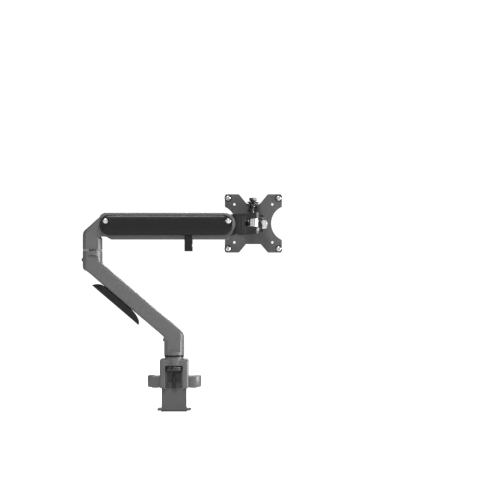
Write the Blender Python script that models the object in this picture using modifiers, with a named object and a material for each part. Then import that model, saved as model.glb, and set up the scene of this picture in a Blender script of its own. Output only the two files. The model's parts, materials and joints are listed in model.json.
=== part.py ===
"""Desk-clamped monitor arm: clamp base, bent lower arm, gas-spring parallel arm, tilting head.

Frame: the origin is on the desk top, on the post axis. +X runs towards the screen head,
+Y towards the screen, +Z up. Lengths in this file are millimetres; MM turns them to metres.
"""
import math

import bmesh
import bpy
from mathutils import Matrix, Vector

MM = 0.001
GAP = 0.3                    # clearance between neighbouring pieces

# Driving dimensions: the axes of the joints.
ELBOW_X = -158.6             # elbow swivel axis
PIVOT_A_X = -132.0           # elbow-side pivots of the parallel links
PIVOT_B_X = 105.4            # head-side pivots
UPPER_Z = 324.4              # height of the upper pivots
LOWER_Z = 304.6              # height of the lower pivots
SWIVEL_X = 154.0             # head swivel axis
HEAD_Z = 320.8               # tilt axis and screen-plate centre
TILT_Y = 38.0                # tilt axis
PLATE_Y = 76.0               # rear face of the screen plate
SCREW_Y = -12.0              # clamp screw axis
SPRING_DROP = 14.0           # gas-spring tail below the upper pivot
SPRING_REACH = 200.0         # from the upper pivot to the spring's front pin
TENSION_X = -144.5           # tension screw axis

# Desk clamp.
DESK_TOP = 0.0
HOUSING_HALF, HOUSING_TOP = 28.0, 57.3
HOUSING_REAR, HOUSING_FRONT = -15.5, 24.0
BOSS_RADIUS, BOSS_TOP = 18.2, 60.5
FOOT_HALF, FOOT_REAR, FOOT_FRONT, FOOT_CORNER = 52.5, -4.0, 58.0, 19.0
FOOT_LOW, FOOT_TOP, FOOT_LIP = 1.5, 22.0, 23.4
WINDOW_HALF, WINDOW_TOP, WINDOW_BACK = 17.0, 43.7, -5.2
POST_RADIUS, POST_LOW, POST_TOP = 8.0, 46.0, 98.0
RING_LOW, RING_TOP = 60.8, 63.7
JAW_DROP = 43.2              # underside of the jaw
JAW_HALF, JAW_FOOT_HALF, JAW_FOOT_FRONT = 24.4, 32.7, 40.0
JAW_REAR, JAW_FACE = -8.5, -5.5
JAW_SHEET, PAD_TOP = 3.0, -38.4
JAW_TONGUE_HALF, JAW_TONGUE_TOP = 14.0, 12.0
SCREW_RADIUS, SCREW_LOW, SCREW_TOP = 2.5, 0.4, 47.0
SCREW_HOLE = SCREW_RADIUS + GAP
WHEEL_ROOT, WHEEL_RADIUS, WHEEL_TEETH = 13.2, 14.0, 30
WHEEL_LOW, WHEEL_TOP = 33.0, 43.0

# Lower arm.
HUB_LOW, HUB_TOP = 64.0, 103.0
HUB_RADIUS = 19.4
ELBOW_RADIUS = 19.2
ELBOW_HUB_LOW, ELBOW_JOINT = 232.0, 266.5
BAR_HALF = 15.0              # half width of the bar
FLAT_HALF = 15.2             # half width across the flats of its hubs
FLAT_LOW, FLAT_LOW_RISE = 69.8, 2.6
FLAT_TOP, FLAT_TOP_RISE = 255.8, 2.9
BUSH_RADIUS, BUSH_TOP = 10.5, 98.3
SET_SCREW_RADIUS, SET_SCREW_LOW_Z, SET_SCREW_ELBOW_Z = 2.9, 94.0, 249.4
PIN_RADIUS, PIN_LOW, PIN_TOP = 7.0, 240.3, 290.5
WASHER_TOP = 268.7
COVER_START = (-170.1, 228.0)      # a point on the bar's underside, near the elbow
COVER_SLOPE = math.radians(-40.5)  # direction of the underside, from there down to the post
SCOOP_START, SCOOP_END, SCOOP_DEPTH = 26.5, 145.0, 14.8
SCOOP_HALF, SCOOP_WALL = 14.0, 2.5

# Parallel links, half widths measured from the middle plane.
UPPER_OUT, UPPER_IN = 22.0, 19.0
LOWER_OUT, LOWER_IN = 17.0, 14.5
TONGUE_HALF = 13.5
FORK_GAP = 10.0
COVER_OUT = 28.0
STUB_RADIUS = 4.0
LINK_LOW, LINK_TOP, ROOF_LOW = 298.0, 340.6, 336.6
LOWER_LINK_FLOOR, LOWER_LINK_TOP = 288.5, 313.6
LINK_END_RADIUS = 10.8
COVER_ENDS, COVER_HEIGHTS = (-144.0, 115.0), (297.0, 336.4)
CLIP_ENDS, CLIP_LOW = (20.4, 35.6), 265.7

# Gas spring and its tension screw.
SPRING_ANGLE = math.atan2(SPRING_DROP, SPRING_REACH)
SPRING_LENGTH = math.hypot(SPRING_DROP, SPRING_REACH)
TUBE_RADIUS, ROD_RADIUS = 9.0, 4.0
TUBE_START, TUBE_END = 14.0, 124.0
ANCHOR_RADIUS = 2.5
SPRING_PIN_RADIUS = 2.8
SADDLE_OVER, SADDLE_UNDER = 4.4, 8.0   # room over and under the anchor pin
SADDLE_SHEET, SADDLE_HALF = 1.6, 7.0

# Head.
LUG_RADIUS, LUG_GAP_LOW, LUG_GAP_TOP = 13.0, 314.0, 329.5
SWIVEL_PIN_RADIUS = 4.0
BARREL_RADIUS, TILT_BARREL_RADIUS = 9.7, 10.8
EAR_THICK, EAR_LOWS = 4.5, (137.6, 165.9)
WALL_REAR, WALL_FRONT = 52.0, 56.0
BOLT_RADIUS, NUT_FLATS = 4.5, 19.0
HUB_FLANGE, HUB_BOSS = 21.0, 14.0
PLATE_THICK = 3.0
PLATE_HALF_X, PLATE_HALF_Z = 56.4, 57.7
HOLE_100, HOLE_75 = 50.0, 37.5
SCREW_HEAD, SCREW_SHANK = 5.3, 2.1
LATCH_X, LATCH_Y = 153.5, 62.0
PLUNGER_RADIUS, PLUNGER_FLANGE = 3.0, 4.9

FINISHES = {
    "grey_paint": ((0.130, 0.131, 0.134), 0.45, 0.35),
    "plate_paint": ((0.065, 0.066, 0.070), 0.50, 0.30),
    "black_plastic": ((0.012, 0.012, 0.013), 0.40, 0.0),
    "black_paint": ((0.016, 0.016, 0.018), 0.42, 0.2),
    "rubber": ((0.008, 0.008, 0.008), 0.85, 0.0),
    "steel": ((0.62, 0.62, 0.63), 0.28, 1.0),
    "dark_steel": ((0.05, 0.05, 0.055), 0.40, 0.9),
    "nylon": ((0.03, 0.03, 0.03), 0.6, 0.0),
}

TURNS = {
    "X": Matrix(((0, 0, 1, 0), (1, 0, 0, 0), (0, 1, 0, 0), (0, 0, 0, 1))),
    "Y": Matrix.Rotation(math.radians(90), 4, "X"),
    "Z": Matrix.Identity(4),
}
AXES = {"X": Vector((1, 0, 0)), "Y": Vector((0, 1, 0)), "Z": Vector((0, 0, 1))}


# ---------------------------------------------------------------- outlines
def arc(u, v, radius, start, end, steps=8):
    """Points on a circle about (u, v), from start to end degrees, both ends included."""
    angles = [math.radians(start + (end - start) * i / steps) for i in range(steps + 1)]
    return [(u + radius * math.cos(a), v + radius * math.sin(a)) for a in angles]


def rounded_rectangle(u0, v0, u1, v1, radius, steps=6):
    return (arc(u1 - radius, v1 - radius, radius, 0, 90, steps)
            + arc(u0 + radius, v1 - radius, radius, 90, 180, steps)
            + arc(u0 + radius, v0 + radius, radius, 180, 270, steps)
            + arc(u1 - radius, v0 + radius, radius, 270, 360, steps))


def stadium(u0, u1, v0, v1, steps=12):
    """A bar with two round ends, as tall as v1 - v0."""
    radius = (v1 - v0) / 2
    middle = (v0 + v1) / 2
    return (arc(u1 - radius, middle, radius, -90, 90, steps)
            + arc(u0 + radius, middle, radius, 90, 270, steps))


def circle(u, v, radius, steps=32):
    return arc(u, v, radius, 0, 360 - 360 / steps, steps - 1)


# ---------------------------------------------------------------- shapes
def start_scene():
    for obj in list(bpy.data.objects):
        bpy.data.objects.remove(obj, do_unlink=True)
    for name in ("monitor_arm", "cutters"):
        group = bpy.data.collections.new(name)
        bpy.context.scene.collection.children.link(group)
    return bpy.data.collections["monitor_arm"], bpy.data.collections["cutters"]


PARTS, TOOLS = start_scene()


def combine(shape, operation, tool):
    """Trims a shape with another: UNION, INTERSECT or DIFFERENCE."""
    modifier = shape.modifiers.new(operation.title(), "BOOLEAN")
    modifier.operation = operation
    modifier.solver = "EXACT"
    modifier.object = tool


def tool_object(label, data):
    """A shape waits among the cutters until piece() makes it a part."""
    obj = bpy.data.objects.new(label, data)
    TOOLS.objects.link(obj)
    obj.hide_render = True
    obj.display_type = "WIRE"
    return obj


def from_bmesh(bm, label):
    mesh = bpy.data.meshes.new(label)
    bm.to_mesh(mesh)
    bm.free()
    return tool_object(label, mesh)


def soften(bm, edges, width, segments):
    bmesh.ops.bevel(bm, geom=edges, offset=width * MM, segments=segments, profile=0.5,
                    affect="EDGES", clamp_overlap=True)


def sharp_edges(bm):
    return [e for e in bm.edges if len(e.link_faces) == 2 and e.calc_face_angle() > math.radians(40)]


def box(low, high, bevel=0.0, segments=2, keep=None):
    """A block between two corners. keep(edge) says which edges stay sharp."""
    low, high = Vector(low) * MM, Vector(high) * MM
    size = high - low
    matrix = Matrix.Translation((low + high) / 2) @ Matrix.Diagonal((*size, 1))
    bm = bmesh.new()
    bmesh.ops.create_cube(bm, size=1.0, matrix=matrix)
    if bevel:
        edges = [e for e in bm.edges if keep is None or not keep(e)]
        soften(bm, edges, bevel, segments)
    return from_bmesh(bm, "block")


def rod(start, end, radius, sides=24):
    start, end = Vector(start) * MM, Vector(end) * MM
    along = end - start
    matrix = (Matrix.Translation((start + end) / 2)
              @ Vector((0, 0, 1)).rotation_difference(along).to_matrix().to_4x4())
    bm = bmesh.new()
    bmesh.ops.create_cone(bm, cap_ends=True, cap_tris=False, segments=sides,
                          radius1=radius * MM, radius2=radius * MM,
                          depth=along.length, matrix=matrix)
    return from_bmesh(bm, "round")


def slab(loops, axis, low, high, bevel=0.0, segments=2, only=None):
    """A flat outline (first loop) with holes (other loops), thick from low to high on axis.

    Outlines are (y, z) for axis X, (x, z) for axis Y and (x, y) for axis Z.
    only(edge) limits the bevel to some edges.
    """
    curve = bpy.data.curves.new("outline", "CURVE")
    curve.dimensions = "2D"
    curve.fill_mode = "BOTH"
    curve.extrude = (high - low) / 2 * MM
    for loop in loops:
        spline = curve.splines.new("POLY")
        spline.points.add(len(loop) - 1)
        for point, (u, v) in zip(spline.points, loop):
            point.co = (u * MM, v * MM, 0, 1)
        spline.use_cyclic_u = True
    holder = bpy.data.objects.new("outline", curve)
    TOOLS.objects.link(holder)
    holder.matrix_world = Matrix.Translation(AXES[axis] * (low + high) / 2 * MM) @ TURNS[axis]
    bpy.context.view_layer.update()
    evaluated = holder.evaluated_get(bpy.context.evaluated_depsgraph_get())
    mesh = bpy.data.meshes.new_from_object(evaluated)
    mesh.transform(holder.matrix_world)
    bpy.data.objects.remove(holder)
    bm = bmesh.new()
    bm.from_mesh(mesh)
    bpy.data.meshes.remove(mesh)
    bmesh.ops.remove_doubles(bm, verts=bm.verts, dist=1e-6)
    bmesh.ops.dissolve_limit(bm, angle_limit=math.radians(0.5), verts=bm.verts, edges=bm.edges)
    bmesh.ops.recalc_face_normals(bm, faces=bm.faces)
    if bevel:
        edges = [e for e in sharp_edges(bm) if only is None or only(e)]
        soften(bm, edges, bevel, segments)
    return from_bmesh(bm, "slab")


def turned(profile, place, axis="Z", flip=False, sides=24):
    """A turned shape. profile holds (radius, height) down the outer side, top to bottom."""
    closed = profile[0][0] > 0
    count = len(profile)
    edges = [(i, i + 1) for i in range(count - 1)] + ([(count - 1, 0)] if closed else [])
    mesh = bpy.data.meshes.new("turned")
    mesh.from_pydata([(r * MM, 0, h * MM) for r, h in profile], edges, [])
    obj = tool_object("turned", mesh)
    lathe = obj.modifiers.new("Lathe", "SCREW")
    lathe.steps = lathe.render_steps = sides
    lathe.use_merge_vertices = True
    lathe.merge_threshold = 1e-6
    turn = Vector((0, 0, 1)).rotation_difference(AXES[axis] * (-1 if flip else 1))
    obj.matrix_world = Matrix.Translation(Vector(place) * MM) @ turn.to_matrix().to_4x4()
    return obj


def hexagon(u, v, across_flats, corner_angle):
    return arc(u, v, across_flats / math.sqrt(3), corner_angle, corner_angle + 300, 5)


# ---------------------------------------------------------------- pieces
def finish_named(name):
    found = bpy.data.materials.get(name)
    if found:
        return found
    colour, roughness, metallic = FINISHES[name]
    material = bpy.data.materials.new(name)
    material.use_nodes = True
    shader = material.node_tree.nodes["Principled BSDF"]
    shader.inputs["Base Color"].default_value = (*colour, 1)
    shader.inputs["Roughness"].default_value = roughness
    shader.inputs["Metallic"].default_value = metallic
    return material


def joint_frame(name, place):
    """An empty on a joint's axis; the pieces of its body hang from it."""
    empty = bpy.data.objects.new(name, None)
    empty.empty_display_size = 20 * MM
    empty.matrix_world = Matrix.Translation(Vector(place) * MM)
    PARTS.objects.link(empty)
    return empty


def piece(name, shape, finish, frame, cut=(), join=(), meet=()):
    """Makes a shape a named part: joins, trims and cuts it, and hangs it on its joint."""
    TOOLS.objects.unlink(shape)
    PARTS.objects.link(shape)
    shape.name = name
    shape.hide_render = False
    shape.display_type = "TEXTURED"
    for operation, tools in (("UNION", join), ("INTERSECT", meet), ("DIFFERENCE", cut)):
        for tool in tools:
            combine(shape, operation, tool)
    shape.data.materials.append(finish_named(finish))
    shape.data.shade_smooth()
    shape.data.set_sharp_from_angle(angle=math.radians(35))
    shape.parent = frame
    shape.matrix_parent_inverse = Matrix.Translation(-frame.location)
    return shape


# ---------------------------------------------------------------- desk clamp
def build_base(frame):
    """The casting on the desk, its pads, the post and the ring that the arm turns on."""
    plan = rounded_rectangle(-FOOT_HALF, FOOT_REAR, FOOT_HALF, FOOT_FRONT, FOOT_CORNER)
    foot = slab([plan], "Z", FOOT_LOW, FOOT_LIP, bevel=1.6)
    dip = slab([[(-44, FOOT_LIP + 2), (-39, FOOT_TOP), (39, FOOT_TOP), (44, FOOT_LIP + 2)]],
               "Y", FOOT_REAR - 2, FOOT_FRONT + 2)
    on_desk = lambda e: all(v.co.z < 1e-6 for v in e.verts)
    housing = box((-HOUSING_HALF, HOUSING_REAR, DESK_TOP),
                  (HOUSING_HALF, HOUSING_FRONT, HOUSING_TOP), bevel=5, segments=3, keep=on_desk)
    boss = rod((0, 0, FOOT_TOP), (0, 0, BOSS_TOP), BOSS_RADIUS, 36)
    window = box((-WINDOW_HALF, -22, -2), (WINDOW_HALF, WINDOW_BACK, WINDOW_TOP))
    cavity = box((-25, -13, -1), (25, WINDOW_BACK, 32.5))
    pocket = box((-15.5, -21, WHEEL_LOW - 0.8), (15.5, 3, WINDOW_TOP))
    post_bore = rod((0, 0, POST_LOW - 0.5), (0, 0, 70), POST_RADIUS + GAP)
    bearing = rod((0, SCREW_Y, WHEEL_TOP), (0, SCREW_Y, SCREW_TOP + 0.5), SCREW_HOLE, 16)
    combine(foot, "DIFFERENCE", dip)
    piece("base_casting", housing, "grey_paint", frame, join=[foot, boss],
          cut=[window, cavity, pocket, post_bore, bearing])
    for side, name in ((-1, "base_pad_left"), (1, "base_pad_right")):
        inner, outer = sorted((side * 29.5, side * 44.0))
        pad = slab([rounded_rectangle(inner, 4, outer, 50, 3, 3)], "Z", DESK_TOP, FOOT_LOW - GAP)
        piece(name, pad, "rubber", frame)
    post = turned([(0, POST_TOP), (POST_RADIUS - 1, POST_TOP), (POST_RADIUS, POST_TOP - 1),
                   (POST_RADIUS, POST_LOW + 1), (POST_RADIUS - 1, POST_LOW), (0, POST_LOW)],
                  (0, 0, 0))
    piece("post", post, "steel", frame)
    ring = turned([(HUB_RADIUS - 0.6, RING_TOP), (HUB_RADIUS, RING_TOP - 0.6),
                   (HUB_RADIUS, RING_LOW), (POST_RADIUS + GAP, RING_LOW),
                   (POST_RADIUS + GAP, RING_TOP)], (0, 0, 0), sides=36)
    piece("post_ring", ring, "black_plastic", frame)


def build_jaw(frame):
    """The bracket under the desk: a plate behind the desk edge and a foot below it."""
    shoulder, tongue = JAW_HALF, JAW_TONGUE_HALF
    outline = [(-shoulder, -JAW_DROP), (shoulder, -JAW_DROP), (shoulder, -0.5), (tongue, -0.5),
               (tongue, JAW_TONGUE_TOP), (-tongue, JAW_TONGUE_TOP), (-tongue, -0.5),
               (-shoulder, -0.5)]
    plate = slab([outline], "Y", JAW_REAR, JAW_FACE)
    foot_top = JAW_SHEET - JAW_DROP
    foot = slab([rounded_rectangle(-JAW_FOOT_HALF, JAW_REAR, JAW_FOOT_HALF, JAW_FOOT_FRONT, 3, 3)],
                "Z", -JAW_DROP, foot_top)
    piece("jaw_bracket", plate, "plate_paint", frame, join=[foot])
    pad = slab([rounded_rectangle(-24, 0, 24, 36, 4, 3)], "Z", foot_top + GAP, PAD_TOP)
    piece("jaw_pad", pad, "rubber", frame)
    trim = slab([rounded_rectangle(-25.2, -9.2, 25.2, 20, 2, 3)], "Z", -45.4, -JAW_DROP - GAP)
    piece("jaw_edge_trim", trim, "rubber", frame)
    nut = box((-4.4, -15.6, 0.6), (4.4, JAW_REAR - GAP, 9.6))
    piece("jaw_nut", nut, "dark_steel", frame,
          cut=[rod((0, SCREW_Y, -1), (0, SCREW_Y, 11), SCREW_HOLE, 16)])


def build_clamp_screw(frame):
    """A screw and its knurled wheel, held in the casting, which draw the jaw up."""
    tip = SCREW_RADIUS - 0.7
    screw = turned([(0, SCREW_TOP), (tip, SCREW_TOP), (SCREW_RADIUS, SCREW_TOP - 0.7),
                    (SCREW_RADIUS, SCREW_LOW + 0.7), (tip, SCREW_LOW), (0, SCREW_LOW)],
                   (0, SCREW_Y, 0), sides=16)
    piece("clamp_screw", screw, "dark_steel", frame)
    rim = []
    for tooth in range(WHEEL_TEETH):
        for radius, shift in ((WHEEL_ROOT, 0.0), (WHEEL_RADIUS, 0.3), (WHEEL_RADIUS, 0.7)):
            angle = 2 * math.pi * (tooth + shift) / WHEEL_TEETH
            rim.append((radius * math.cos(angle), SCREW_Y + radius * math.sin(angle)))
    wheel = slab([rim, circle(0, SCREW_Y, SCREW_HOLE, 16)], "Z", WHEEL_LOW, WHEEL_TOP)
    piece("clamp_wheel", wheel, "black_plastic", frame)


# ---------------------------------------------------------------- lower arm
def flat_cutters():
    """Cutters for the flat on each side of the hubs; each flat ends in a low arch."""
    def arch(x, half, foot, rise, steps=8):
        """Points of a parabola over x, from one side to the other."""
        sides = [2 * i / steps - 1 for i in range(steps + 1)]
        return [(x + half * u, foot + rise * (1 - u * u)) for u in sides]
    lower = arch(0, HUB_RADIUS + 2, FLAT_LOW - 2, FLAT_LOW_RISE + 2)
    upper = arch(ELBOW_X, ELBOW_RADIUS + 2, FLAT_TOP - 4, FLAT_TOP_RISE + 4)
    near_post = lower + [(HUB_RADIUS + 2, 120), (-HUB_RADIUS - 2, 120)]
    near_elbow = upper + [(ELBOW_X + ELBOW_RADIUS + 2, 226), (ELBOW_X - ELBOW_RADIUS - 2, 226)]
    return [slab([outline], "Y", *sorted((side * FLAT_HALF, side * 24.0)))
            for outline in (near_post, near_elbow[::-1]) for side in (-1, 1)]


def build_lower_arm(frame):
    """A cast bar, bent at both ends, between the post and the elbow."""
    outline = (arc(0, 90, 20, 217, 323, 8)
               + [(18.6, 84), (18.6, 102), (17.2, 106.4), (12, 113.2)]
               + [(-26, 144.6), (-131, 235.2), (-138, 241.5), (-140.6, 246)]
               + arc(ELBOW_X, 236, 20, 35, 145, 8)
               + [(-176.9, 246), (-176.9, 233), (-175, 229.8), (-169, 227.2)]
               + [(-21.8, 101.3), (-18.9, 97), (-18.6, 84)])
    bar = slab([outline], "Y", -BAR_HALF, BAR_HALF, bevel=3.0, segments=2,
               only=lambda e: abs(e.verts[0].co.y - e.verts[1].co.y) < 1e-6)
    lower_hub = rod((0, 0, HUB_LOW), (0, 0, HUB_TOP), HUB_RADIUS, 36)
    upper_hub = rod((ELBOW_X, 0, ELBOW_HUB_LOW), (ELBOW_X, 0, ELBOW_JOINT), ELBOW_RADIUS, 36)
    flats = flat_cutters()
    bush_hole = rod((0, 0, 60), (0, 0, BUSH_TOP + GAP), BUSH_RADIUS + GAP)
    pin_hole = rod((ELBOW_X, 0, PIN_LOW - GAP), (ELBOW_X, 0, 270), PIN_RADIUS + GAP)
    set_holes, set_screws = [], []
    for x, z, wall, depth in ((0, SET_SCREW_LOW_Z, 21.6, 10.9),
                              (ELBOW_X, SET_SCREW_ELBOW_Z, 21.2, 7.4)):
        set_holes.append(rod((x - 25, 0, z), (x - 5, 0, z), SET_SCREW_RADIUS + GAP, 16))
        set_screws.append(rod((x - wall, 0, z), (x - depth, 0, z), SET_SCREW_RADIUS, 16))
    piece("lower_arm", bar, "grey_paint", frame, join=[lower_hub, upper_hub],
          cut=flats + [bush_hole, pin_hole] + set_holes)
    bush = turned([(BUSH_RADIUS, BUSH_TOP), (BUSH_RADIUS, HUB_LOW + GAP),
                   (POST_RADIUS + GAP, HUB_LOW + GAP), (POST_RADIUS + GAP, BUSH_TOP)], (0, 0, 0))
    piece("post_bushing", bush, "nylon", frame)
    piece("base_set_screw", set_screws[0], "dark_steel", frame)
    piece("elbow_set_screw", set_screws[1], "dark_steel", frame)
    pin = turned([(0, PIN_TOP), (PIN_RADIUS - 1, PIN_TOP), (PIN_RADIUS, PIN_TOP - 1),
                  (PIN_RADIUS, PIN_LOW + 1), (PIN_RADIUS - 1, PIN_LOW), (0, PIN_LOW)],
                 (ELBOW_X, 0, 0))
    piece("elbow_pin", pin, "steel", frame)
    washer = turned([(ELBOW_RADIUS - 0.6, WASHER_TOP), (ELBOW_RADIUS - 0.6, ELBOW_JOINT + GAP),
                     (PIN_RADIUS + GAP, ELBOW_JOINT + GAP), (PIN_RADIUS + GAP, WASHER_TOP)],
                    (ELBOW_X, 0, 0), sides=36)
    piece("elbow_washer", washer, "nylon", frame)


def along_bar(distance, depth):
    """A point at a distance along the bar's underside and a depth below it, as (x, z)."""
    cos, sin = math.cos(COVER_SLOPE), math.sin(COVER_SLOPE)
    return (COVER_START[0] + distance * cos + depth * sin,
            COVER_START[1] + distance * sin - depth * cos)


def build_cable_cover(frame):
    """A scoop clipped under the bar; the leads run between it and the bar."""
    def scoop(skin):
        top, bottom = -skin if skin else 0.8, SCOOP_DEPTH - skin
        return [along_bar(SCOOP_START + 3 * skin, bottom), along_bar(32 + 2 * skin, 6.6),
                along_bar(38 + skin, 2.6), along_bar(45 + skin, top),
                along_bar(114 - skin, top), along_bar(128 - skin, 2.8),
                along_bar(138.5 - 2 * skin, 7.0), along_bar(SCOOP_END - 3 * skin, bottom)]
    inner_half = SCOOP_HALF - SCOOP_WALL
    shell = slab([scoop(0)], "Y", -SCOOP_HALF, SCOOP_HALF, bevel=1.5, segments=2)
    hollow = slab([scoop(2.0)], "Y", -inner_half, inner_half)
    mouths = [slab([[along_bar(a, 3), along_bar(b, 3), along_bar(b, 12.0), along_bar(a, 12.0)]],
                   "Y", -7, 7) for a, b in ((20, 48), (118, 150))]
    piece("cable_cover", shell, "black_plastic", frame, cut=[hollow] + mouths)


# ---------------------------------------------------------------- elbow
def stub(name, x, z, side, reach, head, head_radius, frame, finish):
    """A shoulder screw along Y: tip in the fork, head outside the link's wall."""
    shank_top = reach
    profile = [(0, head), (head_radius - 1.2, head), (head_radius, head - 0.9),
               (head_radius, shank_top), (STUB_RADIUS, shank_top),
               (STUB_RADIUS, FORK_GAP + 0.6), (0, FORK_GAP + 0.6)]
    screw = turned(profile, (x, 0, z), axis="Y", flip=side < 0, sides=16)
    piece(name, screw, finish, frame)


def build_stubs(x, frame, letter):
    for side, word in ((-1, "rear"), (1, "front")):
        stub("pivot_screw_%s_%s" % (letter, word), x, UPPER_Z, side, UPPER_OUT + GAP,
             27.2, 5.2, frame, "steel")
        stub("lower_pin_%s_%s" % (letter, word), x, LOWER_Z, side, LOWER_OUT + GAP,
             18.6, 5.4, frame, "dark_steel")


def pivot_holes(x, heights, half):
    return [rod((x, -half, z), (x, half, z), STUB_RADIUS + GAP, 24) for z in heights]


def build_elbow(frame):
    """The bracket on the elbow pin, forked for the gas spring and its tension screw."""
    wide = slab([[(-177.5, 276), (-177.5, 300), (-174.6, 305.6), (-143.5, 334.4),
                  (-138.6, 338.0), (-139.6, 331), (-143, 322), (-143, 292), (-141.3, 288),
                  (-141.3, 276)][::-1]], "Y", -BAR_HALF, BAR_HALF, bevel=2.2, segments=2)
    hub = rod((ELBOW_X, 0, WASHER_TOP + GAP), (ELBOW_X, 0, 292), ELBOW_RADIUS, 36)
    combine(hub, "INTERSECT", box((-200, -FLAT_HALF, 260), (-120, FLAT_HALF, 300)))
    tongue = slab([arc(PIVOT_A_X, UPPER_Z, LINK_END_RADIUS, 0, 120, 8)
                   + [(-147, 329), (-155, 318), (-155, 294)]
                   + arc(PIVOT_A_X, LOWER_Z, LINK_END_RADIUS, 250, 360, 8)],
                  "Y", -TONGUE_HALF, TONGUE_HALF)
    fork = box((-150, -FORK_GAP, 294), (-110, FORK_GAP, 345))
    pin_hole = rod((ELBOW_X, 0, 260), (ELBOW_X, 0, PIN_TOP + 0.5), PIN_RADIUS + GAP)
    screw_seat = rod((TENSION_X, 0, 285), (TENSION_X, 0, 300), SCREW_HOLE, 16)
    piece("elbow_bracket", wide, "grey_paint", frame, join=[hub, tongue],
          cut=[fork, pin_hole, screw_seat] + pivot_holes(PIVOT_A_X, (UPPER_Z, LOWER_Z), 20))
    build_stubs(PIVOT_A_X, frame, "a")


def build_tension(screw_frame, carriage_frame):
    """The screw that raises the spring's tail, and the carriage that it raises."""
    screw = turned([(0, 330), (3.8, 330), (4.4, 329.4), (4.4, 325), (SCREW_RADIUS, 325),
                    (SCREW_RADIUS, 286), (0, 286)], (TENSION_X, 0, 0), sides=16)
    piece("tension_screw", screw, "dark_steel", screw_frame)
    plan = [(-149.6, -9.6), (-125.5, -9.6), (-125.5, -5.3), (-139.3, -5.3),
            (-139.3, 5.3), (-125.5, 5.3), (-125.5, 9.6), (-149.6, 9.6)]
    tail_z = UPPER_Z - SPRING_DROP
    block = slab([plan, circle(TENSION_X, 0, SCREW_HOLE, 16)], "Z", tail_z - 6.4, tail_z + 6.4)
    hole_radius = SPRING_PIN_RADIUS + GAP
    cross = rod((PIVOT_A_X, -15, tail_z), (PIVOT_A_X, 15, tail_z), hole_radius, 20)
    piece("tension_carriage", block, "steel", carriage_frame, cut=[cross])
    pin = rod((PIVOT_A_X, -9.5, tail_z), (PIVOT_A_X, 9.5, tail_z), SPRING_PIN_RADIUS, 20)
    piece("spring_pin", pin, "dark_steel", carriage_frame)


# ---------------------------------------------------------------- gas spring
def tilt_spring(shape):
    """Turns a shape made along +X from the spring's tail onto the spring's line."""
    tail = Vector((PIVOT_A_X, 0, UPPER_Z - SPRING_DROP)) * MM
    turn = (Matrix.Translation(tail) @ Matrix.Rotation(-SPRING_ANGLE, 4, "Y")
            @ Matrix.Translation(-tail))
    shape.matrix_world = turn @ shape.matrix_world
    return shape


def build_spring(cylinder_frame, rod_frame):
    tail_x, tail_z = PIVOT_A_X, UPPER_Z - SPRING_DROP
    pin_x = tail_x + SPRING_LENGTH
    body_start, body_end = tail_x + TUBE_START, tail_x + TUBE_END
    bore, rim = ROD_RADIUS + 0.4, TUBE_RADIUS - 1
    body = turned([(0, body_start + 10), (bore, body_start + 10), (bore, body_end),
                   (rim, body_end), (TUBE_RADIUS, body_end - 1.2),
                   (TUBE_RADIUS, body_start + 1.2), (rim, body_start), (0, body_start)],
                  (0, 0, tail_z), axis="X")
    eye = slab([arc(tail_x, tail_z, 6.5, 40, 320, 12) + [(tail_x + 12, tail_z - 4.1),
                (body_start + 1, tail_z - 4.1), (body_start + 1, tail_z + 4.1)],
                circle(tail_x, tail_z, SPRING_PIN_RADIUS + GAP, 20)], "Y", -4.7, 4.7)
    for shape in (body, eye):
        tilt_spring(shape)
    piece("gas_spring_cylinder", body, "dark_steel", cylinder_frame, join=[eye])
    shaft = rod((body_start + 20, 0, tail_z), (pin_x - 9.5, 0, tail_z), ROD_RADIUS, 24)
    piece("gas_spring_rod", tilt_spring(shaft), "steel", rod_frame)
    over, under = tail_z + SADDLE_OVER, tail_z - SADDLE_UNDER
    roof, floor = over + SADDLE_SHEET, under - SADDLE_SHEET
    tip, throat = pin_x + 7, pin_x - 4.2
    saddle = slab([[(pin_x - 18, tail_z - 6), (pin_x - 6, floor), (tip, floor), (tip, under),
                    (throat, under), (throat, over), (tip, over), (tip, roof),
                    (pin_x - 18, roof)]], "Y", -SADDLE_HALF, SADDLE_HALF)
    seat = rod((pin_x - 30, 0, tail_z), (pin_x - 9.2, 0, tail_z), ROD_RADIUS + GAP, 24)
    tilt_spring(saddle)
    tilt_spring(seat)
    piece("spring_saddle", saddle, "dark_steel", rod_frame, cut=[seat])


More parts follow.
